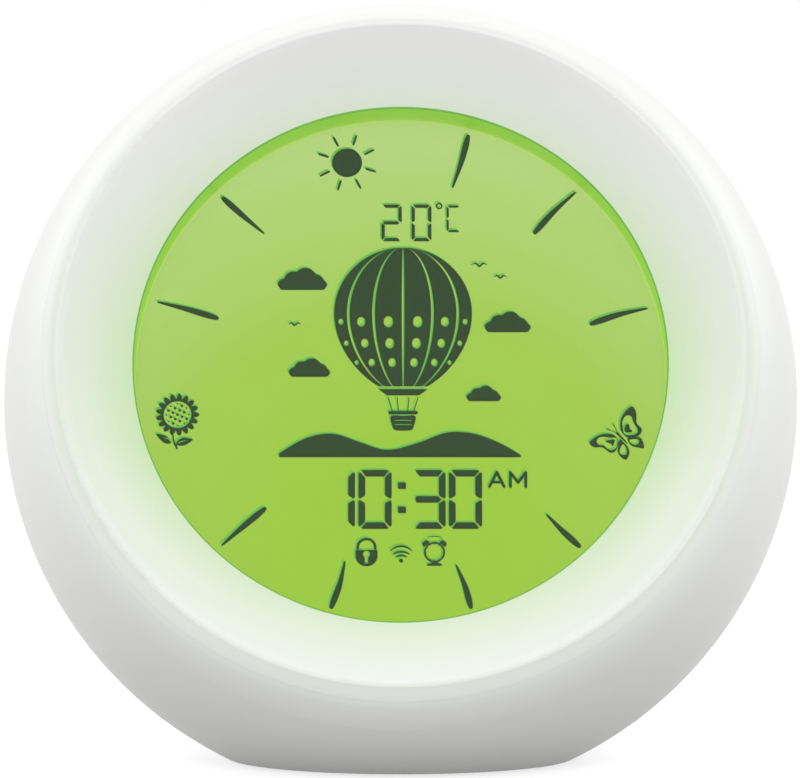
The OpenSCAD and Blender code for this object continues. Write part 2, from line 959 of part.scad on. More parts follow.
module speaker_magnet() {
    color(metal)
    in_panel()
        translate([0, speaker_y, panel_back - stack_gap - 6.1 - 4])
            cylinder(r = speaker_r - 3.2, h = 4);
}

// Temperature bead behind the vent slots, on two leads from the button board
module thermistor() {
    color(dark)
    in_panel()
        translate([slider_x, slider_y, 0]) {
            translate([0, 0, panel_back - 1.8]) sphere(1.2, $fn = 32);
            for (x = [-0.6, 0.6])
                translate([x, 0, board_front]) cylinder(r = 0.25, h = panel_back - 2 - board_front, $fn = 16);
        }
}

module power_inlet() {
    color(dark)
    in_panel()
        translate([0, inlet_y, panel_y - inlet_len])
            difference() {
                union() {
                    cylinder(r = inlet_body_r, h = inlet_len);
                    cylinder(r = inlet_body_r + inlet_shoulder, h = inlet_len - panel_t - stack_gap);
                }
                translate([0, 0, inlet_len - inlet_depth]) cylinder(r = inlet_r, h = inlet_depth + 1);
                translate([0, 0, inlet_len - inlet_depth - 1.5]) cylinder(r = 1, h = 2);
            }
}

module inlet_pin() {
    color(metal)
    in_panel()
        translate([0, inlet_y, panel_y - inlet_depth - 1.5]) {
            cylinder(r = 1, h = inlet_depth, $fn = 48);
            translate([0, 0, inlet_depth]) sphere(1, $fn = 48);
        }
}

// ---- Batteries ----

function box_ear_front() = panel_back - ear_t;

module battery_box() {
    out_w = bay_w + 2 * box_t;
    out_h = bay_h + 2 * box_t;
    color(inner_white)
    in_panel()
        difference() {
            union() {
                translate([-out_w / 2, cell_mid - out_h / 2, box_floor - box_t])
                    cube([out_w, out_h, panel_back - stack_gap - box_floor + box_t]);
                left_and_right()
                    translate([bay_w / 2, ear_y - 3, box_ear_front() - ear_t])
                        cube([ear_x - bay_w / 2 + 2.6, 6, ear_t]);
            }
            // two round-bottomed troughs and the open top
            intersection() {
                translate([-bay_w / 2, cell_mid - bay_h / 2, box_floor]) cube([bay_w, bay_h, big]);
                union() {
                    for (s = [-1, 1])
                        translate([0, cell_mid + s * cell_pitch / 2, cell_z])
                            rotate([0, 90, 0])
                                cylinder(r = cell_r + 0.15, h = bay_w + 1, center = true);
                    translate([-bay_w / 2, cell_mid - bay_h / 2, cell_z]) cube([bay_w, bay_h, big]);
                }
            }
            // square pockets for the contacts at both ends
            for (x = [-bay_w / 2, bay_w / 2 - 5])
                translate([x, cell_mid - bay_h / 2, box_floor]) cube([5, bay_h, big]);
            // room for the hinge lugs
            translate([-big / 2, hinge_y - 2.4 - fit_gap, hinge_z - pin_r - 1.4 - fit_gap])
                cube([big, 4.8 + 2 * fit_gap, big]);
            left_and_right()
                translate([ear_x, ear_y, 0]) cylinder(r = small_shank_r + fit_gap, h = big);
        }
}

// A cell with its raised nub, pointing to +X from its middle
module cell() {
    nub = 1;
    rotate([0, 90, 0]) {
        translate([0, 0, -cell_len / 2]) cylinder(r = cell_r, h = cell_len - nub);
        translate([0, 0, cell_len / 2 - nub - overlap / 5]) cylinder(r = 1.9, h = nub + overlap / 5);
    }
}

// The upper cell's nub is towards +X, the lower cell's towards -X
module cell_places() {
    in_panel()
        for (s = [-1, 1])
            translate([0, cell_mid + s * cell_pitch / 2, cell_z])
                rotate(s > 0 ? 0 : 180)
                    translate([(bay_w - cell_len) / 2 - plate_t, 0, 0])
                        children();
}

module battery_cells() {
    color("goldenrod") cell_places() cell();
}

// One plate at each end of each cell
module contact_plates() {
    color(metal)
    in_panel()
        for (s = [-1, 1], x = [-bay_w / 2, bay_w / 2 - plate_t])
            translate([x, cell_mid + (s * cell_pitch - plate_w) / 2, cell_z - plate_w / 2 - 0.5])
                cube([plate_t, plate_w, plate_w]);
}

function spring_point(t) =
    let (r = 3.4 - 1.4 * t, a = 360 * spring_turns * t)
    [t * spring_len, r * cos(a), r * sin(a)];

function spring_ring(t, n) =
    let (a = 360 * spring_turns * t, out = [0, cos(a), sin(a)])
    [for (k = [0 : n - 1])
        spring_point(t) + spring_wire_r * (cos(360 * k / n) * out + sin(360 * k / n) * [1, 0, 0])];

// A cone-shaped coil of wire that grows smaller towards +X
module coil() {
    n = 6;
    rings = 42;
    points = [for (i = [0 : rings]) each spring_ring(i / rings, n)];
    sides = [for (i = [0 : rings - 1], k = [0 : n - 1], half = [0, 1])
        let (a = i * n + k, b = i * n + (k + 1) % n)
        half == 0 ? [a, b, b + n] : [a, b + n, a + n]];
    start = [[for (k = [n - 1 : -1 : 0]) k]];
    end = [[for (k = [0 : n - 1]) rings * n + k]];
    polyhedron(points, concat(sides, start, end));
}

module contact_springs() {
    color(metal)
    cell_places()
        translate([-cell_len / 2 - spring_len - spring_wire_r - stack_gap / 2, 0, 0]) coil();
}

module battery_door() {
    door_w = bay_w - 2 * fit_gap;
    door_top = bay_top - fit_gap;
    slit = 0.8;
    tongue = 10;
    color(white)
    in_panel()
        difference() {
            union() {
                translate([0, 0, panel_y - door_t])
                    linear_extrude(door_t) {
                        translate([-door_w / 2, hinge_y]) square([door_w, door_top - hinge_y - bay_corner]);
                        translate([0, door_top - bay_corner]) rounded_rect(door_w, 2 * bay_corner, bay_corner - 0.01);
                    }
                translate([0, hinge_y, hinge_z])
                    rotate([0, 90, 0]) {
                        cylinder(r = barrel_r, h = door_w, center = true);
                        cylinder(r = pin_r, h = door_w + 2 * pin_len, center = true);
                    }
                // grip ribs on the springy tongue
                for (k = [0 : 2])
                    translate([-tongue / 2 + 1.2, door_top - 3 - 1.8 * k, panel_y - overlap])
                        cube([tongue - 2.4, 0.7, overlap + 0.4]);
            }
            for (s = [-1, 1])
                translate([s * tongue / 2 - slit / 2, door_top - 9, panel_y - door_t - 1])
                    cube([slit, 10, door_t + 2]);
        }
}

// ---- The base ----

module base_plate() {
    color(white)
    difference() {
        union() {
            rotate_extrude($fn = 180)
                difference() {
                    union() {
                        translate([0, pad_proud]) square([base_r, base_top_z - pad_proud]);
                        translate([0, base_flange_z]) square([base_flange_r, base_top_z - base_flange_z]);
                    }
                    translate([-1, pad_proud + base_t]) square([base_r - 0.8, big]);
                }
            base_screw_places([45, 135, 225, 315])
                translate([0, 0, pad_proud]) cylinder(r = 2.8, h = base_top_z - pad_proud + fit_gap / 2);
        }
        translate([0, 0, -1]) cylinder(r = pad_r + seam_gap, h = 1 + pad_proud + 1);
        base_screw_places([45, 135, 225, 315]) {
            cylinder(r = small_shank_r + fit_gap, h = big);
            cylinder(r = small_head_r + fit_gap, h = pad_proud + small_head_h + fit_gap);
        }
    }
}

module base_pad() {
    color(dark)
    cylinder(r = pad_r, h = pad_proud + 1 - stack_gap / 2, $fn = 180);
}

// ---- Fasteners ----

module shell_screws() {
    color(metal)
    shell_screw_places()
        translate([0, 0, shell_seat_y + shell_floor_t])
            screw(big_shank_r, 11, big_head_r, big_head_h);
}

module base_screws() {
    color(metal)
    base_screw_places([45, 135, 225, 315])
        translate([0, 0, pad_proud + small_head_h + fit_gap])
            mirror([0, 0, 1])
                screw(small_shank_r, base_top_z + 1.6 - pad_proud, small_head_r, small_head_h);
}

// Screws behind the lugs of the shell and the ears of the display frame
module ring_screws() {
    color(metal)
    for (first = [0, 45])
        ring_post_places(first)
            translate([0, 0, -stack_gap - lug_t])
                mirror([0, 0, 1])
                    screw(big_shank_r, 8, big_head_r, big_head_h);
}

// Screws of both circuit boards and of the battery box
module small_screws() {
    color(metal) {
        board_post_places()
            translate([0, 0, board_back]) mirror([0, 0, 1]) screw(small_shank_r, 6, small_head_r, small_head_h);
        ear_post_places()
            translate([0, 0, box_ear_front() - ear_t]) mirror([0, 0, 1]) screw(small_shank_r, 4.5, small_head_r, small_head_h);
        in_face()
            for (x = [-1, 1], v = [-1, 1])
                translate([x * main_post_x, v * main_post_v, main_board_w])
                    mirror([0, 0, 1]) screw(small_shank_r, 5, small_head_r, small_head_h);
    }
}

// Flat cable from the main board back to the button board, in the plane of symmetry
module button_cable() {
    tilt = [cos(face_tilt), sin(face_tilt)];
    start = (cable_drop - main_board_w) * [tilt[0], -tilt[1]] + cable_v * [tilt[1], tilt[0]];
    end = [board_back - 0.2, button_arc_r];
    color("lightgray")
    translate([0, 0, ball_z])
        rotate([90, 0, 90])
            curved_strip([start, start + [12, -4], end + [-14, -6], end], 0.5, cable_w);
}

front_shell();
rear_shell();
face_ring();
display_window();
lcd_panel();
light_guide();
reflector_sheet();
backlight_strip();
display_frame();
glow_board();
glow_leds();
main_board();
main_chip();
radio_module();
board_parts();
lcd_ribbon();
button_board();
button_switches();
slide_switch();
button(1);  // button_1
button(2);  // button_2
button(3);  // button_3
button(4);  // button_4
button(5);  // button_5
lock_slider();
speaker_basket();
speaker_cone();
speaker_magnet();
thermistor();
power_inlet();
inlet_pin();
battery_box();
battery_cells();
contact_plates();
contact_springs();
battery_door();
base_plate();
base_pad();
shell_screws();
base_screws();
ring_screws();
small_screws();
button_cable();
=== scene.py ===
import json
import math

import bmesh
import bpy
from mathutils import Matrix, Vector


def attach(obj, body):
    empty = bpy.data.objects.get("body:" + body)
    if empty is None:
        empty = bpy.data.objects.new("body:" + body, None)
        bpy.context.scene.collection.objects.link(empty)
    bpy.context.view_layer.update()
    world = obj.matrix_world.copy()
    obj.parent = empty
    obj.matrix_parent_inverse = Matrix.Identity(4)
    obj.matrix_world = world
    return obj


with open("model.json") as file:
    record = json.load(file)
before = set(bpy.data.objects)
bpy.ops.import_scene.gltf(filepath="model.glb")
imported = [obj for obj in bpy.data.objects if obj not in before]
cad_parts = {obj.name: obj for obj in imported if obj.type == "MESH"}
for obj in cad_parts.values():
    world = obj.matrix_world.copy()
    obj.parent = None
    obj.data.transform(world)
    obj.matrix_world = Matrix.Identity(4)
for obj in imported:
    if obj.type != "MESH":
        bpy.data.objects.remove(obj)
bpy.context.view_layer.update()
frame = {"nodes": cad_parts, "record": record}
nodes = frame["nodes"]

# ---- Sizes, in millimetres in the frame of the tilted face ----

MM = 0.001
BALL_R = 65.0
BALL_Z = 58.92
FACE_TILT = math.radians(18)
OPEN_R = 42.82
OPEN_W = 23.9
RECESS_DEPTH = 7.4
RIDGE_R = 54.8
GLASS_W = 15.1
FIGURE_T = 0.05
# The figures' painted shadows: thin sheets, shifted a little up and to the left
SHADOW_T = 0.02
SHADOW_SHIFT = Vector((-0.26, 0.32))

FACE_FRAME = Matrix((
    (1, 0, 0, 0),
    (0, math.sin(FACE_TILT), -math.cos(FACE_TILT), 0),
    (0, math.cos(FACE_TILT), math.sin(FACE_TILT), BALL_Z * MM),
    (0, 0, 0, 1),
))


# The frame of the control panel at the back, its depth and the thickness of a printed sign
BACK_FRAME = Matrix(((-1, 0, 0, 0), (0, 0, 1, 0), (0, 1, 0, BALL_Z * MM), (0, 0, 0, 1)))
PANEL_W = 52.52
PRINT_T = 0.03


# ---- Colours ----

def srgb(red, green, blue):
    """A screen colour, 0 to 255, as the linear colour that a shader takes."""
    linear = []
    for value in (red, green, blue):
        share = value / 255
        linear.append(share / 12.92 if share <= 0.04045 else ((share + 0.055) / 1.055) ** 2.4)
    return (*linear, 1.0)


SHELL_WHITE = srgb(241, 241, 240)
# By the distance from the face's axis, in millimetres: painted shade towards the opening, a painted highlight
# just inside the ridge and a faint painted shade just outside it
RING_SHADING_STOPS = (
    (42.82, srgb(225, 229, 220)),
    (53.9, srgb(246, 242, 247)),
    (54.6, srgb(240, 238, 240)),
    (55.2, srgb(236, 236, 235)),
    (56.0, SHELL_WHITE),
)
# The green of the display's light where it is painted on the white plastic
GLOW_GREEN = srgb(195, 225, 172)
# By the depth below the opening, in millimetres: a painted dark line at the edge, then the display's green
# light painted on the wall, paler towards the glass
WALL_LIGHTING_STOPS = (
    (0.0, srgb(100, 164, 60)),
    (0.25, srgb(100, 164, 60)),
    (0.5, srgb(130, 193, 61)),
    (2.8, srgb(134, 192, 61)),
    (4.6, srgb(140, 192, 63)),
    (5.6, srgb(147, 195, 69)),
    (6.1, srgb(155, 199, 83)),
    (6.4, srgb(170, 208, 112)),
)
FIGURE_GREEN = srgb(50, 72, 44)
# The green of the figures' painted shadows
SHADOW_GREEN = srgb(110, 190, 80)
GLASS_STOPS = (
    (0.20, srgb(158, 204, 64)),
    (0.55, srgb(163, 205, 79)),
    (0.70, srgb(170, 209, 99)),
    (0.80, srgb(175, 212, 111)),
    (0.97, srgb(182, 215, 126)),
)


def into_scene(name, data):
    item = bpy.data.objects.new(name, data)
    bpy.context.scene.collection.objects.link(item)
    return item


# ---- Node helpers ----

def new_material(name):
    material = bpy.data.materials.new(name)
    material.use_nodes = True
    tree = material.node_tree
    return material, tree, tree.nodes["Principled BSDF"]


def add(tree, kind, **inputs):
    """Adds a node; keywords are its properties or, where it has no such property, its inputs."""
    node = tree.nodes.new(kind)
    for key, value in inputs.items():
        if hasattr(node, key):
            setattr(node, key, value)
        else:
            node.inputs[key.replace("_", " ")].default_value = value
    return node


def math_node(tree, operation, first, second=None, clamp=False):
    node = tree.nodes.new("ShaderNodeMath")
    node.operation = operation
    node.use_clamp = clamp
    for socket, value in zip(node.inputs, (first, second)):
        if value is None:
            continue
        if isinstance(value, (int, float)):
            socket.default_value = value
        else:
            tree.links.new(value, socket)
    return node.outputs[0]


def plus(tree, first, second):
    return math_node(tree, "ADD", first, second)


def minus(tree, first, second, clamp=False):
    return math_node(tree, "SUBTRACT", first, second, clamp)


def times(tree, first, second):
    return math_node(tree, "MULTIPLY", first, second)


def over(tree, first, second):
    return math_node(tree, "DIVIDE", first, second)


def mix_colours(tree, share, low, high):
    node = tree.nodes.new("ShaderNodeMix")
    node.data_type = "RGBA"
    for socket, value in ((node.inputs[0], share), (node.inputs[6], low), (node.inputs[7], high)):
        if isinstance(value, (int, float, tuple)):
            socket.default_value = value
        else:
            tree.links.new(value, socket)
    return node.outputs[2]


def between(tree, value, low, high):
    """0 below low, 1 above high and smooth between them."""
    node = tree.nodes.new("ShaderNodeMapRange")
    node.interpolation_type = "SMOOTHSTEP"
    node.inputs["From Min"].default_value = low
    node.inputs["From Max"].default_value = high
    tree.links.new(value, node.inputs["Value"])
    return node.outputs["Result"]


def read_off(tree, place, stops, way="LINEAR"):
    """A value or a colour that changes with place, from 0 to 1, through the given stops."""
    ramp = tree.nodes.new("ShaderNodeValToRGB")
    ramp.color_ramp.interpolation = way
    elements = ramp.color_ramp.elements
    for index, (position, value) in enumerate(stops):
        element = elements[index] if index < 2 else elements.new(position)
        element.position = position
        element.color = value if isinstance(value, tuple) else (value, value, value, 1)
    tree.links.new(place, ramp.inputs["Fac"])
    return ramp.outputs["Color"]


def start_group(name, inputs, outputs):
    tree = bpy.data.node_groups.new(name, "ShaderNodeTree")
    for label, kind, default in inputs:
        socket = tree.interface.new_socket(label, in_out="INPUT", socket_type=kind)
        socket.default_value = default
    for label, kind in outputs:
        tree.interface.new_socket(label, in_out="OUTPUT", socket_type=kind)
    return tree, tree.nodes.new("NodeGroupInput").outputs, tree.nodes.new("NodeGroupOutput").inputs


def place_group(tree, group, **values):
    node = tree.nodes.new("ShaderNodeGroup")
    node.node_tree = group
    for key, value in values.items():
        node.inputs[key.replace("_", " ")].default_value = value
    return node.outputs, node.inputs


def place_parts(tree):
    """Where a point lies on the object, as X, Y and Z."""
    parts = tree.nodes.new("ShaderNodeSeparateXYZ")
    tree.links.new(add(tree, "ShaderNodeTexCoord").outputs["Object"], parts.inputs[0])
    return parts.outputs


# ---- Effects that several materials use ----

def make_moulded_skin():
    """The fine eroded texture of a mould, with faint clouds in tone and gloss."""
    tree, given, result = start_group(
        "moulded_skin",
        (("Colour", "NodeSocketColor", (0.8, 0.8, 0.8, 1)),
         ("Grain Size", "NodeSocketFloat", 2500.0),
         ("Roughness", "NodeSocketFloat", 0.45),
         ("Tone", "NodeSocketFloat", 0.03)),
        (("Colour", "NodeSocketColor"), ("Roughness", "NodeSocketFloat"), ("Height", "NodeSocketFloat")))
    place = add(tree, "ShaderNodeTexCoord").outputs["Object"]
    grain = add(tree, "ShaderNodeTexNoise", Detail=2.0, Roughness=0.55)
    clouds = add(tree, "ShaderNodeTexNoise", Scale=38.0, Detail=3.0)
    tree.links.new(place, grain.inputs["Vector"])
    tree.links.new(given["Grain Size"], grain.inputs["Scale"])
    tree.links.new(place, clouds.inputs["Vector"])
    cloud = clouds.outputs["Fac"]
    shade = times(tree, minus(tree, cloud, 0.5), given["Tone"])
    level = plus(tree, 1.0, shade)
    tone = add(tree, "ShaderNodeVectorMath", operation="SCALE")
    tree.links.new(given["Colour"], tone.inputs[0])
    tree.links.new(level, tone.inputs["Scale"])
    tree.links.new(tone.outputs[0], result["Colour"])
    gloss = times(tree, minus(tree, cloud, 0.5), 0.12)
    speckle = times(tree, minus(tree, grain.outputs["Fac"], 0.5), 0.08)
    rough = plus(tree, given["Roughness"], plus(tree, gloss, speckle))
    tree.links.new(rough, result["Roughness"])
    tree.links.new(grain.outputs["Fac"], result["Height"])
    return tree


MOULDED_SKIN = make_moulded_skin()


def make_face_place():
    """Where a point lies on the tilted face: its distance from the axis, its height up the
    face, its distance along the axis, all in millimetres, and how far round it lies, from 0
    at the foot of the face to 1 at its head."""
    tree, given, result = start_group(
        "face_place", (),
        (("Radius", "NodeSocketFloat"), ("Up", "NodeSocketFloat"),
         ("Along", "NodeSocketFloat"), ("Round", "NodeSocketFloat")))
    parts = place_parts(tree)
    rise = minus(tree, parts["Z"], BALL_Z * MM)
    up = plus(tree, times(tree, parts["Y"], math.sin(FACE_TILT) / MM),
              times(tree, rise, math.cos(FACE_TILT) / MM))
    along = plus(tree, times(tree, parts["Y"], -math.cos(FACE_TILT) / MM),
                 times(tree, rise, math.sin(FACE_TILT) / MM))
    across = times(tree, parts["X"], 1 / MM)
    square = plus(tree, times(tree, across, across), times(tree, up, up))
    radius = math_node(tree, "SQRT", square)
    way_round = plus(tree, 0.5, times(tree, 0.5, over(tree, up, radius)))
    tree.links.new(radius, result["Radius"])
    tree.links.new(up, result["Up"])
    tree.links.new(along, result["Along"])
    tree.links.new(way_round, result["Round"])
    return tree


FACE_PLACE = make_face_place()

# How strong the display's green glow, painted into the white plastic's colour, is where the ring meets it, by
# the way round the face
GLOW_STRENGTH = ((0.0, 0.45), (0.35, 0.88), (0.5, 0.85), (1.0, 0.3))
# How fast the painted glow fades outwards in each millimetre, and what the face's head and the ridge add
GLOW_FADE = 0.09
GLOW_FADE_AT_HEAD = 0.16
GLOW_PAST_RIDGE = 0.2


def make_display_glow():
    """How much of the display's green light is painted into the white plastic's colour."""
    tree, _, result = start_group("display_glow", (), (("Glow", "NodeSocketFloat"),))
    place, _ = place_group(tree, FACE_PLACE)
    away = math_node(tree, "MAXIMUM", minus(tree, place["Radius"], OPEN_R), 0.0)
    above = minus(tree, times(tree, place["Round"], 2.0), 1.0, clamp=True)
    extra = times(tree, times(tree, above, above), GLOW_FADE_AT_HEAD)
    fade = times(tree, away, plus(tree, extra, GLOW_FADE))
    past = math_node(tree, "MAXIMUM", minus(tree, place["Radius"], RIDGE_R), 0.0)
    fade = plus(tree, fade, times(tree, past, GLOW_PAST_RIDGE))
    left = math_node(tree, "EXPONENT", times(tree, fade, -1.0))
    glow = times(tree, read_off(tree, place["Round"], GLOW_STRENGTH), left)
    tree.links.new(glow, result["Glow"])
    return tree


DISPLAY_GLOW = make_display_glow()

# The soft ridge: its top, and the width and depth of the hollow that rounds each flank
CREST_R = 54.9
OUTER_FLANK = 3.2
OUTER_FILL = 1.65
INNER_FLANK = 1.5
INNER_FILL = 0.3

# The arcs of the front's outline, as in the source of the part
DISH_R = 0.448 * BALL_R
DISH_SLOPE = math.radians(20.5)
SHOULDER_R = 0.37 * BALL_R
SHOULDER_ANGLE = math.radians(68.4)
RIDGE_ROUND = 0.7
DISH_C = Vector((OPEN_R - DISH_R * math.sin(DISH_SLOPE), OPEN_W + DISH_R * math.cos(DISH_SLOPE)))
SHOULDER_C = (BALL_R - SHOULDER_R) * Vector((math.sin(SHOULDER_ANGLE), math.cos(SHOULDER_ANGLE)))


def circles_meet(first, second, apart):
    """Where circles of two radii cross; apart leads from the first centre to the second."""
    along = (first ** 2 - second ** 2 + apart.length_squared) / (2 * apart.length)
    way = apart.normalized()
    return along * way + math.sqrt(first ** 2 - along ** 2) * Vector((way.y, -way.x))


RIDGE_C = SHOULDER_C + circles_meet(SHOULDER_R - RIDGE_ROUND, DISH_R + RIDGE_ROUND, DISH_C - SHOULDER_C)
RIDGE_IN = DISH_C + (RIDGE_C - DISH_C) * DISH_R / (DISH_R + RIDGE_ROUND)
RIDGE_OUT = SHOULDER_C + (RIDGE_C - SHOULDER_C) * SHOULDER_R / (SHOULDER_R - RIDGE_ROUND)
# For each stretch, outwards from the axis: where it ends and the centre and radius of its arc
OUTLINE_ARCS = (
    (RIDGE_IN.x, DISH_C.x, -DISH_R),
    (RIDGE_OUT.x, RIDGE_C.x, RIDGE_ROUND),
    (BALL_R * math.sin(SHOULDER_ANGLE), SHOULDER_C.x, SHOULDER_R),
    (BALL_R, 0.0, BALL_R),
)
CREST_IN = CREST_R - INNER_FLANK
CREST_OUT = CREST_R + OUTER_FLANK
CREST_FOOT = 20.0
LEAN_STEPS = 31


def flank_slope(away, width, fill):
    left = max(1 - away / width, 0)
    return fill / width * (2 * left - 2 * left ** 9)


def soft_lean(radius):
    """How far the softened ridge's normal leans outwards, as the sine of its angle."""
    centre, bend = next(arc[1:] for arc in OUTLINE_ARCS if radius <= arc[0])
    lean = (radius - centre) / bend
    upright = math.sqrt(1 - lean * lean)
    slope = flank_slope(radius - CREST_R, OUTER_FLANK, OUTER_FILL) if radius > CREST_R \
        else -flank_slope(CREST_R - radius, INNER_FLANK, INNER_FILL)
    outwards = lean - slope * upright * upright
    upwards = upright + slope * upright * lean
    return outwards / math.hypot(outwards, upwards)


def make_crest_normal():
    """The normal of the softened ridge round the dish; elsewhere the solid's own normal."""
    tree, _, result = start_group("crest_normal", (), (("Normal", "NodeSocketVector"),))
    place, _ = place_group(tree, FACE_PLACE)
    parts = place_parts(tree)
    share = over(tree, minus(tree, place["Radius"], CREST_IN), CREST_OUT - CREST_IN)
    radii = [CREST_IN + (CREST_OUT - CREST_IN) * step / LEAN_STEPS for step in range(LEAN_STEPS + 1)]
    stops = [(step / LEAN_STEPS, 0.5 + soft_lean(radius) / 2) for step, radius in enumerate(radii)]
    lean = minus(tree, times(tree, read_off(tree, share, stops), 2.0), 1.0)
    upright = math_node(tree, "SQRT", minus(tree, 1.0, times(tree, lean, lean)))
    per_radius = over(tree, lean, place["Radius"])
    out_up = times(tree, per_radius, place["Up"])
    normal = tree.nodes.new("ShaderNodeCombineXYZ")
    across = times(tree, per_radius, over(tree, parts["X"], MM))
    back = minus(tree, times(tree, out_up, math.sin(FACE_TILT)), times(tree, upright, math.cos(FACE_TILT)))
    rise = plus(tree, times(tree, out_up, math.cos(FACE_TILT)), times(tree, upright, math.sin(FACE_TILT)))
    for socket, value in zip(normal.inputs, (across, back, rise)):
        tree.links.new(value, socket)
    turn = add(tree, "ShaderNodeVectorTransform", vector_type="NORMAL", convert_from="OBJECT",
               convert_to="WORLD")
    tree.links.new(normal.outputs[0], turn.inputs[0])
    within = times(tree, math_node(tree, "GREATER_THAN", place["Radius"], CREST_IN),
                   math_node(tree, "LESS_THAN", place["Radius"], CREST_OUT))
    within = times(tree, within, math_node(tree, "GREATER_THAN", place["Along"], CREST_FOOT))
    choice = tree.nodes.new("ShaderNodeMix")
    choice.data_type = "VECTOR"
    tree.links.new(within, choice.inputs[0])
    tree.links.new(tree.nodes.new("ShaderNodeNewGeometry").outputs["Normal"], choice.inputs[4])
    tree.links.new(turn.outputs[0], choice.inputs[5])
    tree.links.new(choice.outputs[1], result["Normal"])
    return tree


CREST_NORMAL = make_crest_normal()


def add_bump(tree, shader, height, depth, normal=None):
    bump = tree.nodes.new("ShaderNodeBump")
    bump.inputs["Distance"].default_value = depth
    bump.inputs["Strength"].default_value = 1.0
    tree.links.new(height, bump.inputs["Height"])
    if normal:
        tree.links.new(normal, bump.inputs["Normal"])
    tree.links.new(bump.outputs["Normal"], shader.inputs["Normal"])


# ---- Materials ----

def wear(tree, shader, skin):
    """Gives the shader the colour and the roughness of a skin."""
    tree.links.new(skin["Colour"], shader.inputs["Base Color"])
    tree.links.new(skin["Roughness"], shader.inputs["Roughness"])


def moulded(name, colour, grain_size, roughness, tone, depth, specular=0.4):
    material, tree, shader = new_material(name)
    skin, _ = place_group(tree, MOULDED_SKIN, Colour=colour, Grain_Size=grain_size,
                          Roughness=roughness, Tone=tone)
    shader.inputs["Specular IOR Level"].default_value = specular
    wear(tree, shader, skin)
    add_bump(tree, shader, skin["Height"], depth)
    return material


SKIN_DEPTH = 0.00001


def glowing_shell():
    """The plastic of the front shell, with a little of the display's green light painted into its colour."""
    material, tree, shader = new_material("front_shell_plastic")
    skin, given = place_group(tree, MOULDED_SKIN, Grain_Size=2600.0, Roughness=0.42, Tone=0.02)
    glow, _ = place_group(tree, DISPLAY_GLOW)
    tree.links.new(mix_colours(tree, glow["Glow"], SHELL_WHITE, GLOW_GREEN), given["Colour"])
    wear(tree, shader, skin)
    shader.inputs["Specular IOR Level"].default_value = 0.4
    add_bump(tree, shader, skin["Height"], SKIN_DEPTH, place_group(tree, CREST_NORMAL)[0]["Normal"])
    return material


# The band, outwards from the opening, in which the wall gives way to the dish
WALL_EDGE = (0.16, 0.24)
# How much of a shining surface's own colour is taken back, and how strongly it shines
# The wall of the recess shines with painted light from the display
WALL_DIM = 0.65
WALL_SHINE = 0.78
FILM_DIM = 0.9
FILM_SHINE = 0.88
BLACK = (0, 0, 0, 1)


def glowing_ring():
    """The dished ring: white round the display, with painted shade, highlight and green glow, and the wall of
    the recess inside it, whose green light and dark edge are painted in as colour and emission.
    """
    material, tree, shader = new_material("dished_ring")
    skin, given = place_group(tree, MOULDED_SKIN, Grain_Size=2600.0, Roughness=0.42, Tone=0.02)
    place, _ = place_group(tree, FACE_PLACE)
    glow, _ = place_group(tree, DISPLAY_GLOW)
    width = RING_SHADING_STOPS[-1][0] - OPEN_R
    across = over(tree, minus(tree, place["Radius"], OPEN_R), width)
    # The ring's white, with its painted shade and highlight
    white = read_off(tree, across, [((radius - OPEN_R) / width, colour) for radius, colour in RING_SHADING_STOPS])
    dish = mix_colours(tree, glow["Glow"], white, GLOW_GREEN)
    wall = between(tree, place["Radius"], OPEN_R + WALL_EDGE[1], OPEN_R + WALL_EDGE[0])
    depth = over(tree, minus(tree, OPEN_W, place["Along"]), RECESS_DEPTH)
    painted_wall_light = read_off(tree, depth, [(low / RECESS_DEPTH, colour) for low, colour in WALL_LIGHTING_STOPS])
    dim_wall = mix_colours(tree, WALL_DIM, painted_wall_light, BLACK)
    colour = mix_colours(tree, wall, dish, dim_wall)
    tree.links.new(colour, given["Colour"])
    wear(tree, shader, skin)
    # The wall's painted light also shines as emission
    tree.links.new(mix_colours(tree, wall, BLACK, painted_wall_light), shader.inputs["Emission Color"])
    shader.inputs["Emission Strength"].default_value = WALL_SHINE
    shader.inputs["Specular IOR Level"].default_value = 0.35
    add_bump(tree, shader, skin["Height"], SKIN_DEPTH, place_group(tree, CREST_NORMAL)[0]["Normal"])
    return material


# The middle of the glass's shades lies this far below the face's axis, and they run this far
SHADE_DROP = 31.0
SHADE_REACH = 74.0


def glass_gradient(tree):
    """The colour of the lit glass: deep below the middle and paler towards the far rim."""
    place, _ = place_group(tree, FACE_PLACE)
    rise = plus(tree, place["Up"], SHADE_DROP)
    up_square = times(tree, place["Up"], place["Up"])
    square = times(tree, place["Radius"], place["Radius"])
    across_square = minus(tree, square, up_square)
    rise_square = times(tree, rise, rise)
    distance = math_node(tree, "SQRT", plus(tree, across_square, rise_square))
    return read_off(tree, over(tree, distance, SHADE_REACH), GLASS_STOPS, "EASE")


def lit_glass():
    """Liquid crystal glass with the light guide shining through it."""
    material, tree, shader = new_material("lit_display_glass")
    colour = glass_gradient(tree)
    dim = mix_colours(tree, FILM_DIM, colour, BLACK)
    tree.links.new(dim, shader.inputs["Base Color"])
    tree.links.new(colour, shader.inputs["Emission Color"])
    shader.inputs["Emission Strength"].default_value = FILM_SHINE
    shader.inputs["Roughness"].default_value = 0.5
    shader.inputs["Specular IOR Level"].default_value = 0.0
    return material


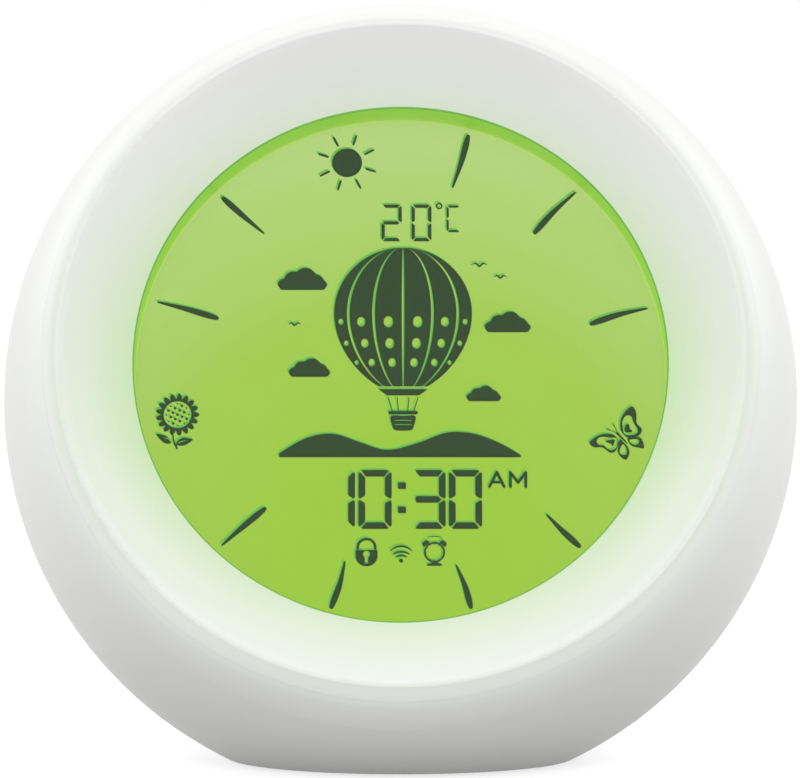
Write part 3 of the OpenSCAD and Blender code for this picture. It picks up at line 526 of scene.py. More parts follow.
def figure_film(name, colour):
    """One layer on the glass, lit from behind: the dark figures of the liquid crystal, or their painted
    shadows.
    """
    material, tree, shader = new_material(name)
    skin, _ = place_group(tree, MOULDED_SKIN, Colour=colour, Grain_Size=4000.0, Roughness=0.5, Tone=0.06)
    tree.links.new(mix_colours(tree, FILM_DIM, skin["Colour"], BLACK), shader.inputs["Base Color"])
    tree.links.new(skin["Colour"], shader.inputs["Emission Color"])
    shader.inputs["Emission Strength"].default_value = FILM_SHINE
    tree.links.new(skin["Roughness"], shader.inputs["Roughness"])
    shader.inputs["Specular IOR Level"].default_value = 0.0
    return material


def clear_window():
    material, tree, shader = new_material("clear_window")
    shader.inputs["Base Color"].default_value = (1, 1, 1, 1)
    shader.inputs["Transmission Weight"].default_value = 1.0
    shader.inputs["Roughness"].default_value = 0.0
    shader.inputs["IOR"].default_value = 1.2
    return material


METAL_DEPTH = 0.000004


def bright_metal(name, colour, roughness):
    material, tree, shader = new_material(name)
    skin, _ = place_group(tree, MOULDED_SKIN, Colour=colour, Grain_Size=1500.0,
                          Roughness=roughness, Tone=0.1)
    wear(tree, shader, skin)
    shader.inputs["Metallic"].default_value = 1.0
    add_bump(tree, shader, skin["Height"], METAL_DEPTH)
    return material


CELL_MIDDLE_Z = 45.47
CELL_SHIFT = 1.95
CELL_HALF = 22.25
NUB = 1.0
# Measured from the cell's plus end: the pale band and the thin line beyond it
CELL_BAND = 11.0
BAND_LINE = 12.2
# How far the wrap stops short of the plus and of the minus end
BARE_PLUS = 0.25
BARE_MINUS = 0.35
WRAP_DARK = srgb(66, 82, 98)
WRAP_PALE = srgb(206, 210, 212)
CELL_STEEL = srgb(200, 200, 198)


def wrapped_cells():
    """Two cells, head to tail: steel ends, a printed wrap and a pale band near the nub."""
    material, tree, shader = new_material("cell_wrap")
    parts = place_parts(tree)
    upper = math_node(tree, "GREATER_THAN", parts["Z"], CELL_MIDDLE_Z * MM)
    way = minus(tree, 1.0, times(tree, upper, 2.0))
    along = times(tree, times(tree, parts["X"], way), 1 / MM)
    along = minus(tree, along, CELL_SHIFT)
    band = math_node(tree, "GREATER_THAN", along, CELL_HALF - CELL_BAND)
    line = math_node(tree, "COMPARE", along, CELL_HALF - BAND_LINE)
    band = math_node(tree, "MAXIMUM", band, line)
    steel = math_node(tree, "MAXIMUM", math_node(tree, "GREATER_THAN", along, CELL_HALF - NUB - BARE_PLUS),
                      math_node(tree, "LESS_THAN", along, BARE_MINUS - CELL_HALF))
    skin, given = place_group(tree, MOULDED_SKIN, Grain_Size=2000.0, Roughness=0.32, Tone=0.06)
    colour = mix_colours(tree, steel, mix_colours(tree, band, WRAP_DARK, WRAP_PALE), CELL_STEEL)
    tree.links.new(colour, given["Colour"])
    wear(tree, shader, skin)
    tree.links.new(steel, shader.inputs["Metallic"])
    add_bump(tree, shader, skin["Height"], METAL_DEPTH)
    return material


SIGN_INK = moulded("sign_ink", srgb(112, 116, 120), 2200.0, 0.5, 0.05, 0.000002)
SLOT_MATERIALS = {
    "shell_white": moulded("shell_plastic", SHELL_WHITE, 2600.0, 0.42, 0.02, 0.00001),
    "ring_translucent": glowing_ring(),
    "clear_window": clear_window(),
    "display_glass": lit_glass(),
    "light_guide": moulded("guide_acrylic", srgb(190, 230, 150), 900.0, 0.2, 0.04, 0.000004),
    "reflector_white": moulded("reflector_film", srgb(240, 240, 238), 3000.0, 0.6, 0.02, 0.000004),
    "lamp_parts": moulded("lamp_bodies", srgb(238, 224, 150), 2000.0, 0.35, 0.1, 0.000005),
    "inner_white_plastic": moulded("inner_plastic", srgb(226, 226, 222), 1800.0, 0.5, 0.05, 0.00002),
    "white_board": moulded("white_board", srgb(230, 232, 228), 2400.0, 0.4, 0.04, 0.000006),
    "green_board": moulded("green_board", srgb(24, 92, 52), 1400.0, 0.35, 0.3, 0.00001),
    "black_plastic": moulded("black_plastic", srgb(34, 34, 36), 2200.0, 0.45, 0.3, 0.00001),
    "bright_metal": bright_metal("plated_steel", srgb(196, 198, 200), 0.3),
    "flex_film": moulded("flex_film", srgb(205, 120, 40), 1800.0, 0.3, 0.15, 0.000005),
    "button_grey": moulded("button_plastic", srgb(206, 208, 208), 2600.0, 0.45, 0.04, 0.00001),
    "speaker_paper": moulded("speaker_paper", srgb(52, 50, 50), 1600.0, 0.8, 0.5, 0.00004),
    "cell_wrap": wrapped_cells(),
    "pad_rubber": moulded("pad_rubber", srgb(60, 60, 62), 1500.0, 0.75, 0.2, 0.00002),
}
FRONT_SHELL_PLASTIC = glowing_shell()
FIGURE_FILM = figure_film("figure_film", FIGURE_GREEN)
SHADOW_FILM = figure_film("figure_shadow", SHADOW_GREEN)


def dress_nodes():
    """Gives every carried-over solid the finish of its slot."""
    for part in frame["record"]["subparts"]:
        for own in nodes[part["node"]].material_slots:
            own.material = SLOT_MATERIALS[part["material_slot"]]
    for own in nodes["front_shell"].material_slots:
        own.material = FRONT_SHELL_PLASTIC


# ---- The figures of the display ----

def circle_loop(centre, radius, points=40, squash=1.0):
    return [Vector((centre[0] + radius * math.cos(2 * math.pi * i / points),
                    centre[1] + squash * radius * math.sin(2 * math.pi * i / points)))
            for i in range(points)]


def heading(degrees):
    angle = math.radians(degrees)
    return Vector((math.cos(angle), math.sin(angle)))


def curve_point(a, b, c, d, t):
    """A point between b and c of a smooth curve through four corners."""
    return 0.5 * (2 * b + (c - a) * t + (2 * a - 5 * b + 4 * c - d) * t * t
                  + (3 * b - a - 3 * c + d) * t * t * t)


def smooth_loop(corners, steps=6):
    """A closed curve that runs smoothly through the corners."""
    count = len(corners)
    points = [Vector(corner) for corner in corners]
    loop = []
    for i in range(count):
        a, b, c, d = (points[(i + k - 1) % count] for k in range(4))
        loop += [curve_point(a, b, c, d, step / steps) for step in range(steps)]
    return loop


def smooth_line(corners, steps=8):
    points = [Vector(corner) for corner in corners]
    line = []
    for i in range(len(points) - 1):
        a = points[max(i - 1, 0)]
        b, c = points[i], points[i + 1]
        d = points[min(i + 2, len(points) - 1)]
        line += [curve_point(a, b, c, d, step / steps) for step in range(steps)]
    line.append(points[-1])
    return line


def brush_loop(corners, widths, steps=8):
    """The outline of a brush stroke along the corners; widths run from its start to its end."""
    line = smooth_line(corners, steps)
    last = len(line) - 1
    left, right = [], []
    for i, point in enumerate(line):
        ahead = (line[min(i + 1, last)] - line[max(i - 1, 0)]).normalized()
        place = i / last * (len(widths) - 1)
        low = min(int(place), len(widths) - 2)
        half = (widths[low] + (widths[low + 1] - widths[low]) * (place - low)) / 2
        side = Vector((-ahead.y, ahead.x)) * half
        left.append(point + side)
        right.append(point - side)
    start_way = (line[0] - line[1]).normalized()
    end_way = (line[-1] - line[-2]).normalized()
    start_cap = cap_points(line[0], start_way, widths[0] / 2)
    end_cap = cap_points(line[-1], end_way, widths[-1] / 2)
    return left[:-1] + end_cap + right[::-1][1:-1] + start_cap


def cap_points(centre, way, radius, steps=6):
    side = Vector((-way.y, way.x))
    return [centre + radius * (side * math.cos(math.pi * i / steps) + way * math.sin(math.pi * i / steps))
            for i in range(steps + 1)]


def turned(points, angle, move):
    spin = Matrix.Rotation(angle, 2)
    return [spin @ Vector(point) + Vector(move) for point in points]


def flat_piece(name, groups, height, material, shift=Vector((0, 0)), back=False):
    """Fills each group of nested outlines with a thin sheet on the display glass or, at the
    back, on the control panel."""
    joined = bmesh.new()
    for loops in groups:
        curve = bpy.data.curves.new(name, "CURVE")
        curve.dimensions = "2D"
        curve.fill_mode = "BOTH"
        curve.extrude = height / 2
        for loop in loops:
            spline = curve.splines.new("POLY")
            spline.points.add(len(loop) - 1)
            for point, place in zip(spline.points, loop):
                point.co = (place[0] + shift.x, place[1] + shift.y, 0, 1)
            spline.use_cyclic_u = True
        carrier = into_scene(name, curve)
        bpy.context.view_layer.update()
        sheet = bpy.data.meshes.new_from_object(carrier.evaluated_get(bpy.context.evaluated_depsgraph_get()))
        joined.from_mesh(sheet)
        bpy.data.objects.remove(carrier)
        bpy.data.curves.remove(curve)
        bpy.data.meshes.remove(sheet)
    bmesh.ops.remove_doubles(joined, verts=joined.verts, dist=0.0005)
    lift = Matrix.Translation((0, 0, (PANEL_W if back else GLASS_W) + height / 2))
    joined.transform((BACK_FRAME if back else FACE_FRAME) @ Matrix.Scale(MM, 4) @ lift)
    bmesh.ops.recalc_face_normals(joined, faces=joined.faces)
    mesh = bpy.data.meshes.new(name)
    joined.to_mesh(mesh)
    joined.free()
    mesh.materials.append(material)
    piece = into_scene(name, mesh)
    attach(piece, "housing")
    return piece


HOUR_STROKES = (
    ((11.03, 40.72), (9.95, 36.45), (8.49, 32.02)),
    ((21.91, 24.36), (24.89, 27.80), (28.54, 31.19)),
    ((30.98, 8.87), (35.40, 10.40), (39.99, 11.46)),
    ((28.66, -28.30), (25.95, -25.75), (23.51, -23.11)),
    ((11.24, -38.34), (10.32, -34.90), (8.95, -31.54)),
    ((-11.08, -38.34), (-9.75, -34.60), (-8.95, -30.91)),
    ((-21.89, -22.16), (-25.65, -25.40), (-28.66, -28.15)),
    ((-29.82, 9.82), (-34.60, 11.30), (-39.34, 12.51)),
    ((-28.89, 30.11), (-25.60, 27.10), (-22.28, 24.21)),
)
STROKE_WIDTHS = (0.72, 1.05, 0.98, 0.75, 0.5, 0.28)


def hour_stroke_groups():
    return [[brush_loop(stroke, STROKE_WIDTHS)] for stroke in HOUR_STROKES]


SUN_PLACE = Vector((-8.74, 36.24))
SUN_R = 2.45
RAY_START = 3.3
RAY_END = 4.85
RAY_TURN = 27


def sun_groups():
    groups = [[circle_loop(SUN_PLACE, SUN_R)]]
    for i in range(8):
        way = heading(RAY_TURN + 45 * i)
        groups.append([brush_loop((SUN_PLACE + way * RAY_START, SUN_PLACE + way * RAY_END),
                                  (0.34, 0.38, 0.3))])
    return groups


FLOWER_PLACE = Vector((-36.02, -6.43))
PETALS = 17
PETAL_FOOT = 2.6
PETAL_REACH = 0.92
SEED_DISC = 2.24
SEED_FIELD = 2.0
SEED_PITCH = 0.81
SEED_R = 0.23
EDGE_SEED_R = 0.14


def flower_groups():
    """A flower head with a ring of petals round a disc of seeds, on a stem with two leaves."""
    outline = []
    for i in range(PETALS * 8):
        turn = 2 * math.pi * i / (PETALS * 8)
        radius = PETAL_FOOT + PETAL_REACH * abs(math.cos(PETALS * turn / 2)) ** 0.8
        outline.append(FLOWER_PLACE + radius * Vector((math.cos(turn), math.sin(turn))))
    head = [outline, circle_loop(FLOWER_PLACE, SEED_DISC)]
    for row in range(-3, 4):
        for column in range(-3, 4):
            spot = Vector((column, row)) * SEED_PITCH
            if spot.length < SEED_FIELD:
                seed = SEED_R if spot.length < SEED_FIELD - 0.25 else EDGE_SEED_R
                head.append(circle_loop(turned([spot], -0.44, FLOWER_PLACE)[0], seed, 14))
    stem = brush_loop(((-36.72, -9.6), (-36.6, -10.8), (-36.06, -12.05)), (0.2, 0.24, 0.34))
    left_leaf = smooth_loop(((-39.42, -9.72), (-38.3, -9.82), (-37.5, -10.25), (-36.95, -11.0),
                             (-37.5, -11.3), (-38.4, -10.95)))
    left_vein = brush_loop(((-38.2, -10.3), (-37.6, -10.45), (-37.05, -10.85)), (0.08, 0.16, 0.12))
    right_leaf = smooth_loop(((-36.2, -11.45), (-35.9, -10.72), (-35.0, -10.25), (-34.3, -10.38),
                              (-33.5, -10.57), (-34.2, -11.2), (-35.1, -11.62)))
    right_vein = brush_loop(((-35.9, -11.15), (-35.3, -10.92), (-34.6, -10.75)), (0.12, 0.16, 0.08))
    return [head, [stem], [left_leaf, left_vein], [right_leaf, right_vein]]


BUTTERFLY_PLACE = Vector((35.67, -10.27))
# Each wing: its outline, the pale cell in it and, in the two upper ones, the dark spot in that
BUTTERFLY_WINGS = (
    (((-0.12, 1.2), (-0.1, 3.1), (0.8, 4.6), (1.8, 5.2), (2.4, 4.1), (2.45, 2.4), (3.2, 1.6), (3.1, 0.7),
      (2.3, 0.1), (0.9, 0.05)),
     ((0.24, 1.3), (0.16, 2.7), (0.7, 3.65), (1.6, 3.55), (1.95, 2.5), (2.6, 1.3), (2.4, 0.7), (1.6, 0.42),
      (0.6, 0.5)),
     ((0.55, 0.95), (0.55, 1.9), (0.95, 2.3), (1.28, 2.05), (1.3, 1.55), (1.66, 1.2), (1.6, 0.9))),
    (((-1.05, 0.3), (-2.2, 0.65), (-3.7, 0.4), (-5.2, -0.75), (-4.5, -1.6), (-3.1, -1.65), (-1.9, -2.5),
      (-1.0, -2.2), (-0.5, -0.7)),
     ((-4.05, -0.6), (-3.4, 0.1), (-1.9, 0.0), (-0.75, -0.15), (-0.85, -1.5), (-1.6, -2.1), (-2.4, -1.8),
      (-2.9, -1.3), (-3.6, -1.25)),
     ((-2.65, -0.6), (-1.9, -0.4), (-1.1, -0.38), (-1.45, -1.4), (-1.75, -1.05), (-2.25, -0.85))),
    (((-0.25, -0.3), (-0.6, -1.5), (-0.5, -2.8), (0.6, -3.7), (1.2, -2.7), (1.05, -1.7), (0.35, -0.8)),
     ((0.2, -1.1), (-0.3, -1.95), (-0.25, -2.7), (0.35, -2.9), (0.78, -2.6), (0.7, -1.8))),
    (((1.05, 0.0), (2.4, 0.1), (3.2, -0.2), (3.6, -1.7), (2.6, -1.65), (1.65, -1.4), (1.1, -0.7)),
     ((1.25, -0.4), (2.5, -0.25), (2.8, -0.6), (2.5, -1.15), (1.75, -1.1))),
)
BUTTERFLY_LINES = (
    (((-0.68, 0.72), (-0.2, 0.18), (0.9, -0.95)), (0.46, 0.36, 0.3, 0.14)),
    (((-0.72, 0.95), (-0.95, 1.55), (-1.34, 2.22)), (0.1, 0.08, 0.2)),
    (((-0.9, 0.78), (-1.6, 1.12), (-2.34, 1.4)), (0.1, 0.08, 0.2)),
)


def butterfly_groups():
    """A butterfly that flies up to the left: two pairs of wings with pale cells."""
    groups = [[[point + BUTTERFLY_PLACE for point in smooth_loop(loop)] for loop in wing]
              for wing in BUTTERFLY_WINGS]
    groups += [[[point + BUTTERFLY_PLACE for point in brush_loop(line, widths)]]
               for line, widths in BUTTERFLY_LINES]
    return groups


# Which of the seven bars each character lights: top, upper right, lower right, bottom,
# lower left, upper left, middle
LIT_BARS = {"0": "abcdef", "1": "bc", "2": "abged", "3": "abgcd", "C": "afed"}


BAR_GAP = 0.11
# As shares of a bar's thickness: its cut corners and how far a level bar stops short
BAR_CHAMFER = 0.22
BAR_INSET = 0.1


def bar_loops(bars, right, top, width, height, thick):
    """The lit bars of one character as pointed strips with a hairline between them."""
    left = right - width
    bottom = top - height
    middle = top - height / 2
    half = thick / 2
    chamfer = thick * BAR_CHAMFER
    short = chamfer + BAR_GAP + thick * BAR_INSET
    shoulder = thick + BAR_GAP

    def level(edge, up):
        """A strip along the top or the bottom; up is 1 or -1, the way to its outer edge."""
        tip = edge - up * chamfer * 0.6
        inner = edge - up * thick
        return [(left + short, tip), (left + chamfer * 3, edge), (right - chamfer * 3, edge),
                (right - short, tip), (right - shoulder, inner), (left + shoulder, inner)]

    def upright(outer, inner, high, low):
        way = 1 if inner > outer else -1
        return [(outer, high - chamfer * 2), (outer + way * chamfer, high - chamfer),
                (inner, high - thick), (inner, low + half),
                (outer + way * chamfer, low), (outer, low + chamfer)]

    def hanging(outer, inner):
        """An upright of the lower half: the one of the upper half upside down."""
        high = middle - BAR_GAP
        low = bottom + BAR_GAP
        return [(x, high + low - y) for x, y in upright(outer, inner, high, low)]

    strips = {
        "a": level(top, 1),
        "b": upright(right, right - thick, top - BAR_GAP, middle + BAR_GAP),
        "c": hanging(right, right - thick),
        "d": level(bottom, -1),
        "e": hanging(left, left + thick),
        "f": upright(left, left + thick, top - BAR_GAP, middle + BAR_GAP),
        "g": [(left + short, middle), (left + half + BAR_GAP, middle + half),
              (right - shoulder, middle + half), (right - half - BAR_GAP, middle),
              (right - shoulder, middle - half), (left + half + BAR_GAP, middle - half)],
    }
    return [[[Vector(corner) for corner in strips[bar]]] for bar in bars]


TIME_TOP = -15.67
TIME_SIZE = (5.36, 9.8, 1.1)
COLON_LEFT = -0.42
COLON_RIGHT = 0.88
COLON_T = 1.1
WARMTH_TOP = 29.09
WARMTH_HEIGHT = 6.25
WARMTH_THICK = 0.56


def time_groups():
    groups = []
    for digit, right in (("1", -7.33), ("0", -1.43), ("3", 7.25), ("0", 13.12)):
        groups += bar_loops(LIT_BARS[digit], right, TIME_TOP, *TIME_SIZE)
    for high in (-17.74, -21.76):
        groups.append([[Vector((COLON_LEFT, high)), Vector((COLON_RIGHT, high)),
                        Vector((COLON_RIGHT, high - COLON_T)), Vector((COLON_LEFT, high - COLON_T))]])
    return groups


def half_day_groups():
    """The two letters that tell the half of the day."""
    groups = [[brush_loop(((14.3, -18.45), (15.5, -16.05)), (0.46, 0.5), 4)],
              [brush_loop(((15.5, -16.05), (16.68, -18.45)), (0.5, 0.46), 4)],
              [brush_loop(((14.8, -17.7), (16.2, -17.7)), (0.42, 0.42), 4)]]
    letter = ((17.68, -18.45), (17.68, -16.1), (18.92, -17.75), (20.16, -16.1), (20.16, -18.45))
    for start, end in zip(letter, letter[1:]):
        groups.append([brush_loop((start, end), (0.48, 0.48), 4)])
    return groups


def temperature_groups():
    groups = bar_loops(LIT_BARS["2"], 0.2, WARMTH_TOP, 3.32, WARMTH_HEIGHT, WARMTH_THICK)
    groups += bar_loops(LIT_BARS["0"], 5.03, WARMTH_TOP, 3.25, WARMTH_HEIGHT, WARMTH_THICK)
    groups += bar_loops(LIT_BARS["C"], 9.78, 28.94, 2.3, 4.55, 0.38)
    ring = Vector((6.29, 28.86))
    groups.append([circle_loop(ring, 0.56, 24), circle_loop(ring, 0.3, 24)])
    return groups


LOCK_PLACE = Vector((-5.47, -28.94))


def arc_turns(start, end, steps):
    return [math.radians(start + (end - start) * i / steps) for i in range(steps + 1)]


def oval_arc(centre, across, up, start, end, steps):
    return [Vector(centre) + Vector((across * math.cos(turn), up * math.sin(turn)))
            for turn in arc_turns(start, end, steps)]


def lock_groups():
    """A padlock with a round-bottomed body; its place is the middle of the body's top edge."""
    body = [Vector((-1.7, 0)), Vector((1.7, 0)), Vector((1.78, -0.1))]
    body += oval_arc((0, -1.0), 1.78, 1.72, 0, -180, 40) + [Vector((-1.78, -0.1))]
    keyhole = oval_arc((0, -0.72), 0.56, 0.56, -65, 245, 24) + [Vector((-0.3, -2.2)), Vector((0.3, -2.2))]
    shackle = [Vector((1.62, 0.06))] + oval_arc((0, 0.45), 1.62, 1.55, 0, 180, 28) + [Vector((-1.62, 0.06))]
    shackle += [Vector((-1.2, 0.06))] + oval_arc((0, 0.45), 1.2, 1.13, 180, 0, 28) + [Vector((1.2, 0.06))]
    return [[[point + LOCK_PLACE for point in loop] for loop in group]
            for group in ([body, keyhole], [shackle])]


SIGNAL_PLACE = Vector((0.08, -30.73))
# Each arc: half its chord, how far it rises, and the height of its top above the dot
SIGNAL_ARCS = ((0.89, 0.26, 0.87), (1.35, 0.4, 1.48), (1.74, 0.79, 2.4))


def signal_groups():
    """Arcs of a radio signal over a dot."""
    groups = [[circle_loop(SIGNAL_PLACE, 0.33, 20)]]
    for half, rise, height in SIGNAL_ARCS:
        radius = (half * half + rise * rise) / (2 * rise)
        reach = math.degrees(math.asin(min(half / radius, 1)))
        centre = SIGNAL_PLACE + Vector((0, height - radius))
        line = oval_arc(centre, radius, radius, 90 + reach, 90 - reach, 10)
        groups.append([brush_loop(line, (0.16, 0.3, 0.32, 0.3, 0.16), 2)])
    return groups


SMALL_CLOCK_PLACE = Vector((5.44, -29.32))


def small_clock_groups():
    """A clock with two bells, a handle and a foot."""
    centre = SMALL_CLOCK_PLACE
    groups = [[circle_loop(centre, 1.71, 48), circle_loop(centre, 1.41, 48)]]
    for i in range(12):
        way = heading(30 * i)
        groups.append([brush_loop((centre + way * 1.42, centre + way * 1.2), (0.16, 0.12), 2)])
    for side in (-1, 1):
        bell = centre + Vector((side * 1.47, 1.5))
        way = Vector((side * 0.8, 1)).normalized()
        along = Vector((-way.y, way.x))
        groups.append([[bell + along * 0.62 - way * 0.36, bell + along * 0.58 + way * 0.05,
                        bell + along * 0.4 + way * 0.34, bell - along * 0.4 + way * 0.34,
                        bell - along * 0.58 + way * 0.05, bell - along * 0.62 - way * 0.36]])
    handle = ((-1.1, 2.25), (-0.85, 2.58), (0.0, 2.62), (0.85, 2.58), (1.1, 2.25))
    groups.append([brush_loop([centre + Vector(point) for point in handle], (0.1, 0.14, 0.1), 4)])
    foot = ((-1.27, -2.25), (-1.1, -1.9), (-0.55, -1.78), (-0.3, -1.45), (0.3, -1.45), (0.55, -1.78),
            (1.1, -1.9), (1.27, -2.25))
    groups.append([[centre + Vector(point) for point in foot]])
    return groups


def cloud_loop(centre, size):
    """A puffy cloud with a flat underside."""
    puffs = ((-1.9, 0.0, 0.75), (-0.95, 0.55, 1.0), (0.35, 0.75, 1.2), (1.5, 0.3, 0.9), (2.15, -0.05, 0.6))
    outline = []
    for turn in arc_turns(180, 0, 60):
        way = Vector((math.cos(turn), math.sin(turn)))
        reach = 0
        for x, y, radius in puffs:
            spot = Vector((x, y))
            along = spot.dot(way)
            off = spot.length_squared - along * along
            if off < radius * radius:
                reach = max(reach, along + math.sqrt(radius * radius - off))
        outline.append(Vector(centre) + way * reach * size)
    outline.append(Vector(centre) + Vector((2.35, -0.55)) * size)
    outline.append(Vector(centre) + Vector((-2.25, -0.55)) * size)
    return outline


def balloon_groups():
    """A hot-air balloon over low hills, between clouds."""
    centre = Vector((0.4, 10.6))
    radius = 11.4
    groups = []

    def edge(turn, share):
        """A point of the envelope: share runs across it and turn up it."""
        high = math.sin(turn)
        wide = math.cos(turn) * (1.0 if high > 0 else 1.0 - 0.16 * high * high)
        return centre + Vector((share * radius * wide, radius * high * (0.98 if high > 0 else 1.18)))

    shares = (-1.0, -0.78, -0.42, 0.0, 0.42, 0.78, 1.0)
    low, high = -66, 84
    for left, right in zip(shares, shares[1:]):
        gap = 0.018
        outer = [edge(turn, left + gap) for turn in arc_turns(low, high, 30)]
        outer += [edge(turn, right - gap) for turn in arc_turns(high, low, 30)]
        holes = []
        middle = (left + right) / 2
        for turn in (-38, -22, -6):
            spot = edge(math.radians(turn), middle)
            wide = 0.5 * (right - left) * radius * 0.32 * math.cos(math.radians(turn))
            holes.append(circle_loop(spot, wide, 20, 1.25))
        groups.append([outer] + holes)
    skirt_top = edge(math.radians(low), 0).y
    mouth = edge(math.radians(low), 1.0).x - centre.x
    groups.append([[Vector((centre.x - mouth, skirt_top - 0.45)),
                    Vector((centre.x + mouth, skirt_top - 0.45)),
                    Vector((centre.x + 2.6, skirt_top - 1.5)), Vector((centre.x - 2.6, skirt_top - 1.5))]])
    basket_top = skirt_top - 4.4

    def at_basket(x, y):
        return Vector((centre.x + x, basket_top - y))

    for side in (-1, 1):
        for reach, foot in ((2.4, 1.75), (0.95, 0.75)):
            groups.append([brush_loop(((centre.x + side * reach, skirt_top - 1.9),
                                       at_basket(side * foot, -0.35)), (0.16, 0.16), 2)])
    rim = brush_loop((at_basket(-2.1, 0), at_basket(2.1, 0)), (0.6, 0.6), 2)
    corners = ((-1.95, 0.55), (0, 0.55), (1.95, 0.55), (1.75, 2.2), (1.2, 2.95), (-1.2, 2.95), (-1.75, 2.2))
    basket = smooth_loop([at_basket(x, y) for x, y in corners], 4)
    weave = [brush_loop((at_basket(-1.3, y), at_basket(1.3, y)), (0.12, 0.12), 2) for y in (1.3, 2.0)]
    groups.append([rim])
    groups.append([basket] + weave)
    for place, size in (((-16.0, 15.4), 1.5), ((17.3, 8.2), 1.4), ((-14.8, 0.6), 1.25), ((13.4, -3.6), 1.05)):
        groups.append([cloud_loop(place, size)])
    for x, y, size in ((12.8, 18.6, 1.0), (16.2, 16.6, 0.8), (-17.2, 8.6, 0.8)):
        wing = ((x - 1.3 * size, y + 0.25 * size), (x - 0.6 * size, y + 0.5 * size), (x, y),
                (x + 0.6 * size, y + 0.5 * size), (x + 1.3 * size, y + 0.25 * size))
        groups.append([brush_loop(wing, (0.08, 0.3, 0.3, 0.08), 5)])
    hill = ((-19.6, -12.9), (-15.4, -10.4), (-11.0, -9.6), (-6.6, -11.0), (-2.2, -12.3), (2.6, -11.2),
            (7.6, -9.4), (12.2, -9.7), (16.4, -11.4), (19.4, -13.2))
    ridge = smooth_line(hill)
    groups.append([ridge + [Vector((19.4, -13.55)), Vector((-19.6, -13.55))]])
    return groups


FIGURES = (
    ("hour_strokes", hour_stroke_groups),
    ("sun_figure", sun_groups),
    ("flower_figure", flower_groups),
    ("butterfly_figure", butterfly_groups),
    ("balloon_picture", balloon_groups),
    ("temperature_bars", temperature_groups),
    ("time_bars", time_groups),
    ("half_day_letters", half_day_groups),
    ("lock_figure", lock_groups),
    ("signal_figure", signal_groups),
    ("small_clock_figure", small_clock_groups),
)


def make_figures():
    for name, groups_of in FIGURES:
        groups = groups_of()
        flat_piece(name, groups, FIGURE_T, FIGURE_FILM)
        # Each figure's painted shadow, a thinner sheet shifted up and to the left
        flat_piece(name + "_shadow", groups, SHADOW_T, SHADOW_FILM, SHADOW_SHIFT)


# ---- The signs printed on the control panel ----

SIGN_ARC_R = 20.6
SIGN_LINE = 0.42
LOCK_SIGN_PLACE = Vector((-22.6, 5.1))
LOCK_SIGN_SCALE = 0.72


def bar_line(*corners):
    return brush_loop(corners, (SIGN_LINE, SIGN_LINE), 2)


def clock_sign():
    return [[circle_loop((0, 0), 1.65, 40), circle_loop((0, 0), 1.33, 40)],
            [bar_line((0, -0.1), (0, 0.95))], [bar_line((-0.1, 0), (0.75, 0))]]


def bell_sign():
    dome = smooth_loop(((-1.75, -0.9), (-1.2, -0.35), (-1.05, 0.6), (-0.6, 1.35), (0.0, 1.6), (0.6, 1.35),
                        (1.05, 0.6), (1.2, -0.35), (1.75, -0.9), (0.0, -0.95)))
    hollow = smooth_loop(((-0.95, -0.62), (-0.72, 0.5), (-0.4, 1.05), (0.0, 1.22), (0.4, 1.05),
                          (0.72, 0.5), (0.95, -0.62), (0.0, -0.66)))
    return [[dome, hollow], [circle_loop((0, -1.4), 0.36, 20)]]


def light_sign():
    groups = [[circle_loop((0, 0), 0.85, 32), circle_loop((0, 0), 0.55, 32)]]
    for i in range(8):
        way = heading(45 * i)
        groups.append([bar_line(way * 1.1, way * 1.55)])
    return groups


def minus_sign():
    return [[bar_line((-1.35, 0), (1.35, 0))]]


def plus_sign():
    return [[bar_line((-1.35, 0), (1.35, 0))], [bar_line((0, -1.35), (0, 1.35))]]


# Each sign's name, its shape and where it stands on the arc, in degrees
SIGNS = (
    ("sign_clock", clock_sign, 145.0),
    ("sign_bell", bell_sign, 117.5),
    ("sign_light", light_sign, 90.0),
    ("sign_minus", minus_sign, 62.5),
    ("sign_plus", plus_sign, 35.0),
)


def make_signs():
    """A plain sign by each button and a padlock by the lock slider."""
    for name, sign, degrees in SIGNS:
        flat_piece(name, sign(), PRINT_T, SIGN_INK, heading(degrees) * SIGN_ARC_R, back=True)
    groups = [[[(point - LOCK_PLACE) * LOCK_SIGN_SCALE + LOCK_SIGN_PLACE for point in loop]
               for loop in group] for group in lock_groups()]
    flat_piece("sign_lock", groups, PRINT_T, SIGN_INK, back=True)


# ---- Stage, light and camera ----

FLOOR_REACH = 6.0
FLOOR_GREY = srgb(173, 173, 173)
FLOOR_WHITE = 0.75


def seen_directly(tree):
    """1 for a ray that reaches the eye straight, through glass or off gloss, and 0 for others."""
    path = tree.nodes.new("ShaderNodeLightPath").outputs
    seen = math_node(tree, "MAXIMUM", path["Is Camera Ray"], path["Is Transmission Ray"])
    return math_node(tree, "MAXIMUM", seen, path["Is Glossy Ray"])


def make_floor():
    """A pale floor that reads as white and keeps the shadow."""
    mesh = bpy.data.meshes.new("floor")
    mesh.from_pydata([(-FLOOR_REACH, -FLOOR_REACH, 0), (FLOOR_REACH, -FLOOR_REACH, 0),
                      (FLOOR_REACH, FLOOR_REACH, 0), (-FLOOR_REACH, FLOOR_REACH, 0)], [], [(0, 1, 2, 3)])
    floor = into_scene("floor", mesh)
    material, tree, shader = new_material("pale_floor")
    shader.inputs["Base Color"].default_value = FLOOR_GREY
    shader.inputs["Roughness"].default_value = 0.9
    shader.inputs["Specular IOR Level"].default_value = 0.0
    seen = seen_directly(tree)
    shader.inputs["Emission Color"].default_value = (1, 1, 1, 1)
    tree.links.new(times(tree, seen, FLOOR_WHITE), shader.inputs["Emission Strength"])
    mesh.materials.append(material)


SKY_LIGHT = 0.731


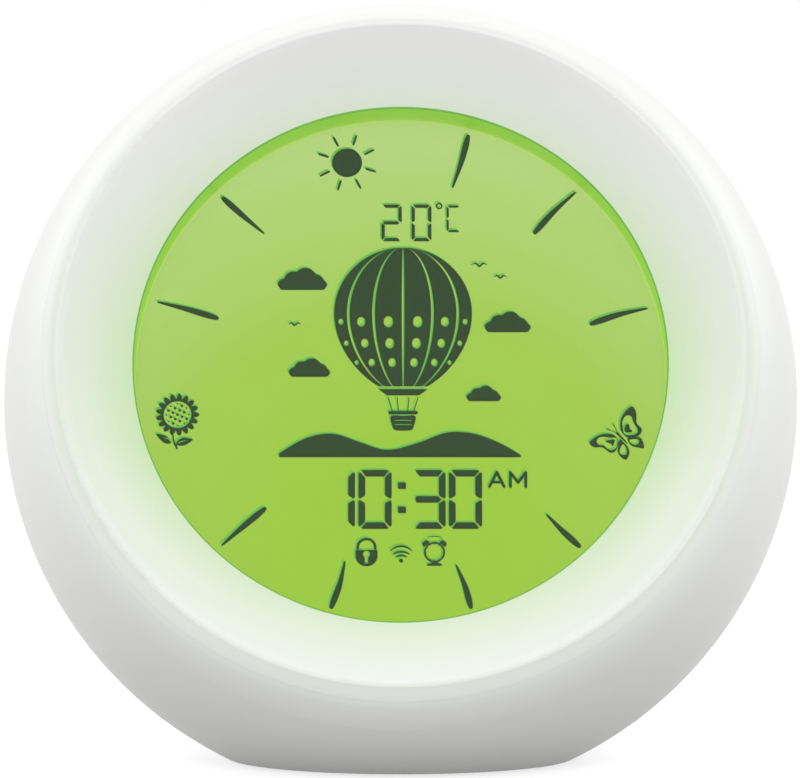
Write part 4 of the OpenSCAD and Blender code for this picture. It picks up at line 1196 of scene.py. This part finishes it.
def make_world():
    world = bpy.data.worlds.new("plain_sky")
    bpy.context.scene.world = world
    world.use_nodes = True
    tree = world.node_tree
    sky = tree.nodes["Background"]
    seen = seen_directly(tree)
    strength = plus(tree, SKY_LIGHT, times(tree, seen, 1 - SKY_LIGHT))
    sky.inputs["Color"].default_value = (1, 1, 1, 1)
    tree.links.new(strength, sky.inputs["Strength"])


LAMP_SIZE = 0.5
LAMPS = (
    ("front_softbox", (0.0, -0.95, 0.25), 3.02),
    ("left_softbox", (-0.7, -0.1, 0.65), 1.45),
    ("right_softbox", (0.7, -0.1, 0.65), 1.45),
    ("left_back_softbox", (-0.7, 0.35, 0.45), 0.9),
    ("right_back_softbox", (0.7, 0.35, 0.45), 0.9),
)


def make_lamp(name, place, power):
    """A round softbox that is turned towards the middle of the ball."""
    lamp = bpy.data.lights.new(name, "AREA")
    lamp.shape = "DISK"
    lamp.size = LAMP_SIZE
    lamp.energy = power
    holder = into_scene(name, lamp)
    holder.location = place
    target = Vector((0, 0, BALL_Z * MM))
    holder.rotation_euler = (target - holder.location).to_track_quat("-Z", "Y").to_euler()


PICTURE_WIDTH = 800
PICTURE_MIDDLE = (400, 389)
BALL_IN_PICTURE = (400.6, 401.7)
BALL_R_IN_PICTURE = 396.7
CAMERA_DISTANCE = 1.0
CAMERA_RISE = math.radians(2.5)


def make_camera():
    ball = Vector((0, 0, BALL_Z * MM))
    radius = BALL_R * MM
    focal = BALL_R_IN_PICTURE * math.sqrt(CAMERA_DISTANCE ** 2 - radius ** 2) / radius
    camera = bpy.data.cameras.new("camera")
    camera.sensor_width = 36.0
    camera.lens = camera.sensor_width * focal / PICTURE_WIDTH
    camera.shift_x = (PICTURE_MIDDLE[0] - BALL_IN_PICTURE[0]) / PICTURE_WIDTH
    camera.shift_y = (BALL_IN_PICTURE[1] - PICTURE_MIDDLE[1]) / PICTURE_WIDTH
    camera.clip_start = 0.05
    camera.clip_end = 50.0
    holder = into_scene("camera", camera)
    holder.location = ball + CAMERA_DISTANCE * Vector((0, -math.cos(CAMERA_RISE), math.sin(CAMERA_RISE)))
    holder.rotation_euler = (ball - holder.location).to_track_quat("-Z", "Y").to_euler()
    bpy.context.scene.camera = holder


make_camera()
dress_nodes()
make_figures()
make_signs()
make_floor()
make_world()
for name, place, power in LAMPS:
    make_lamp(name, place, power)
bpy.context.scene.view_settings.view_transform = "Standard"
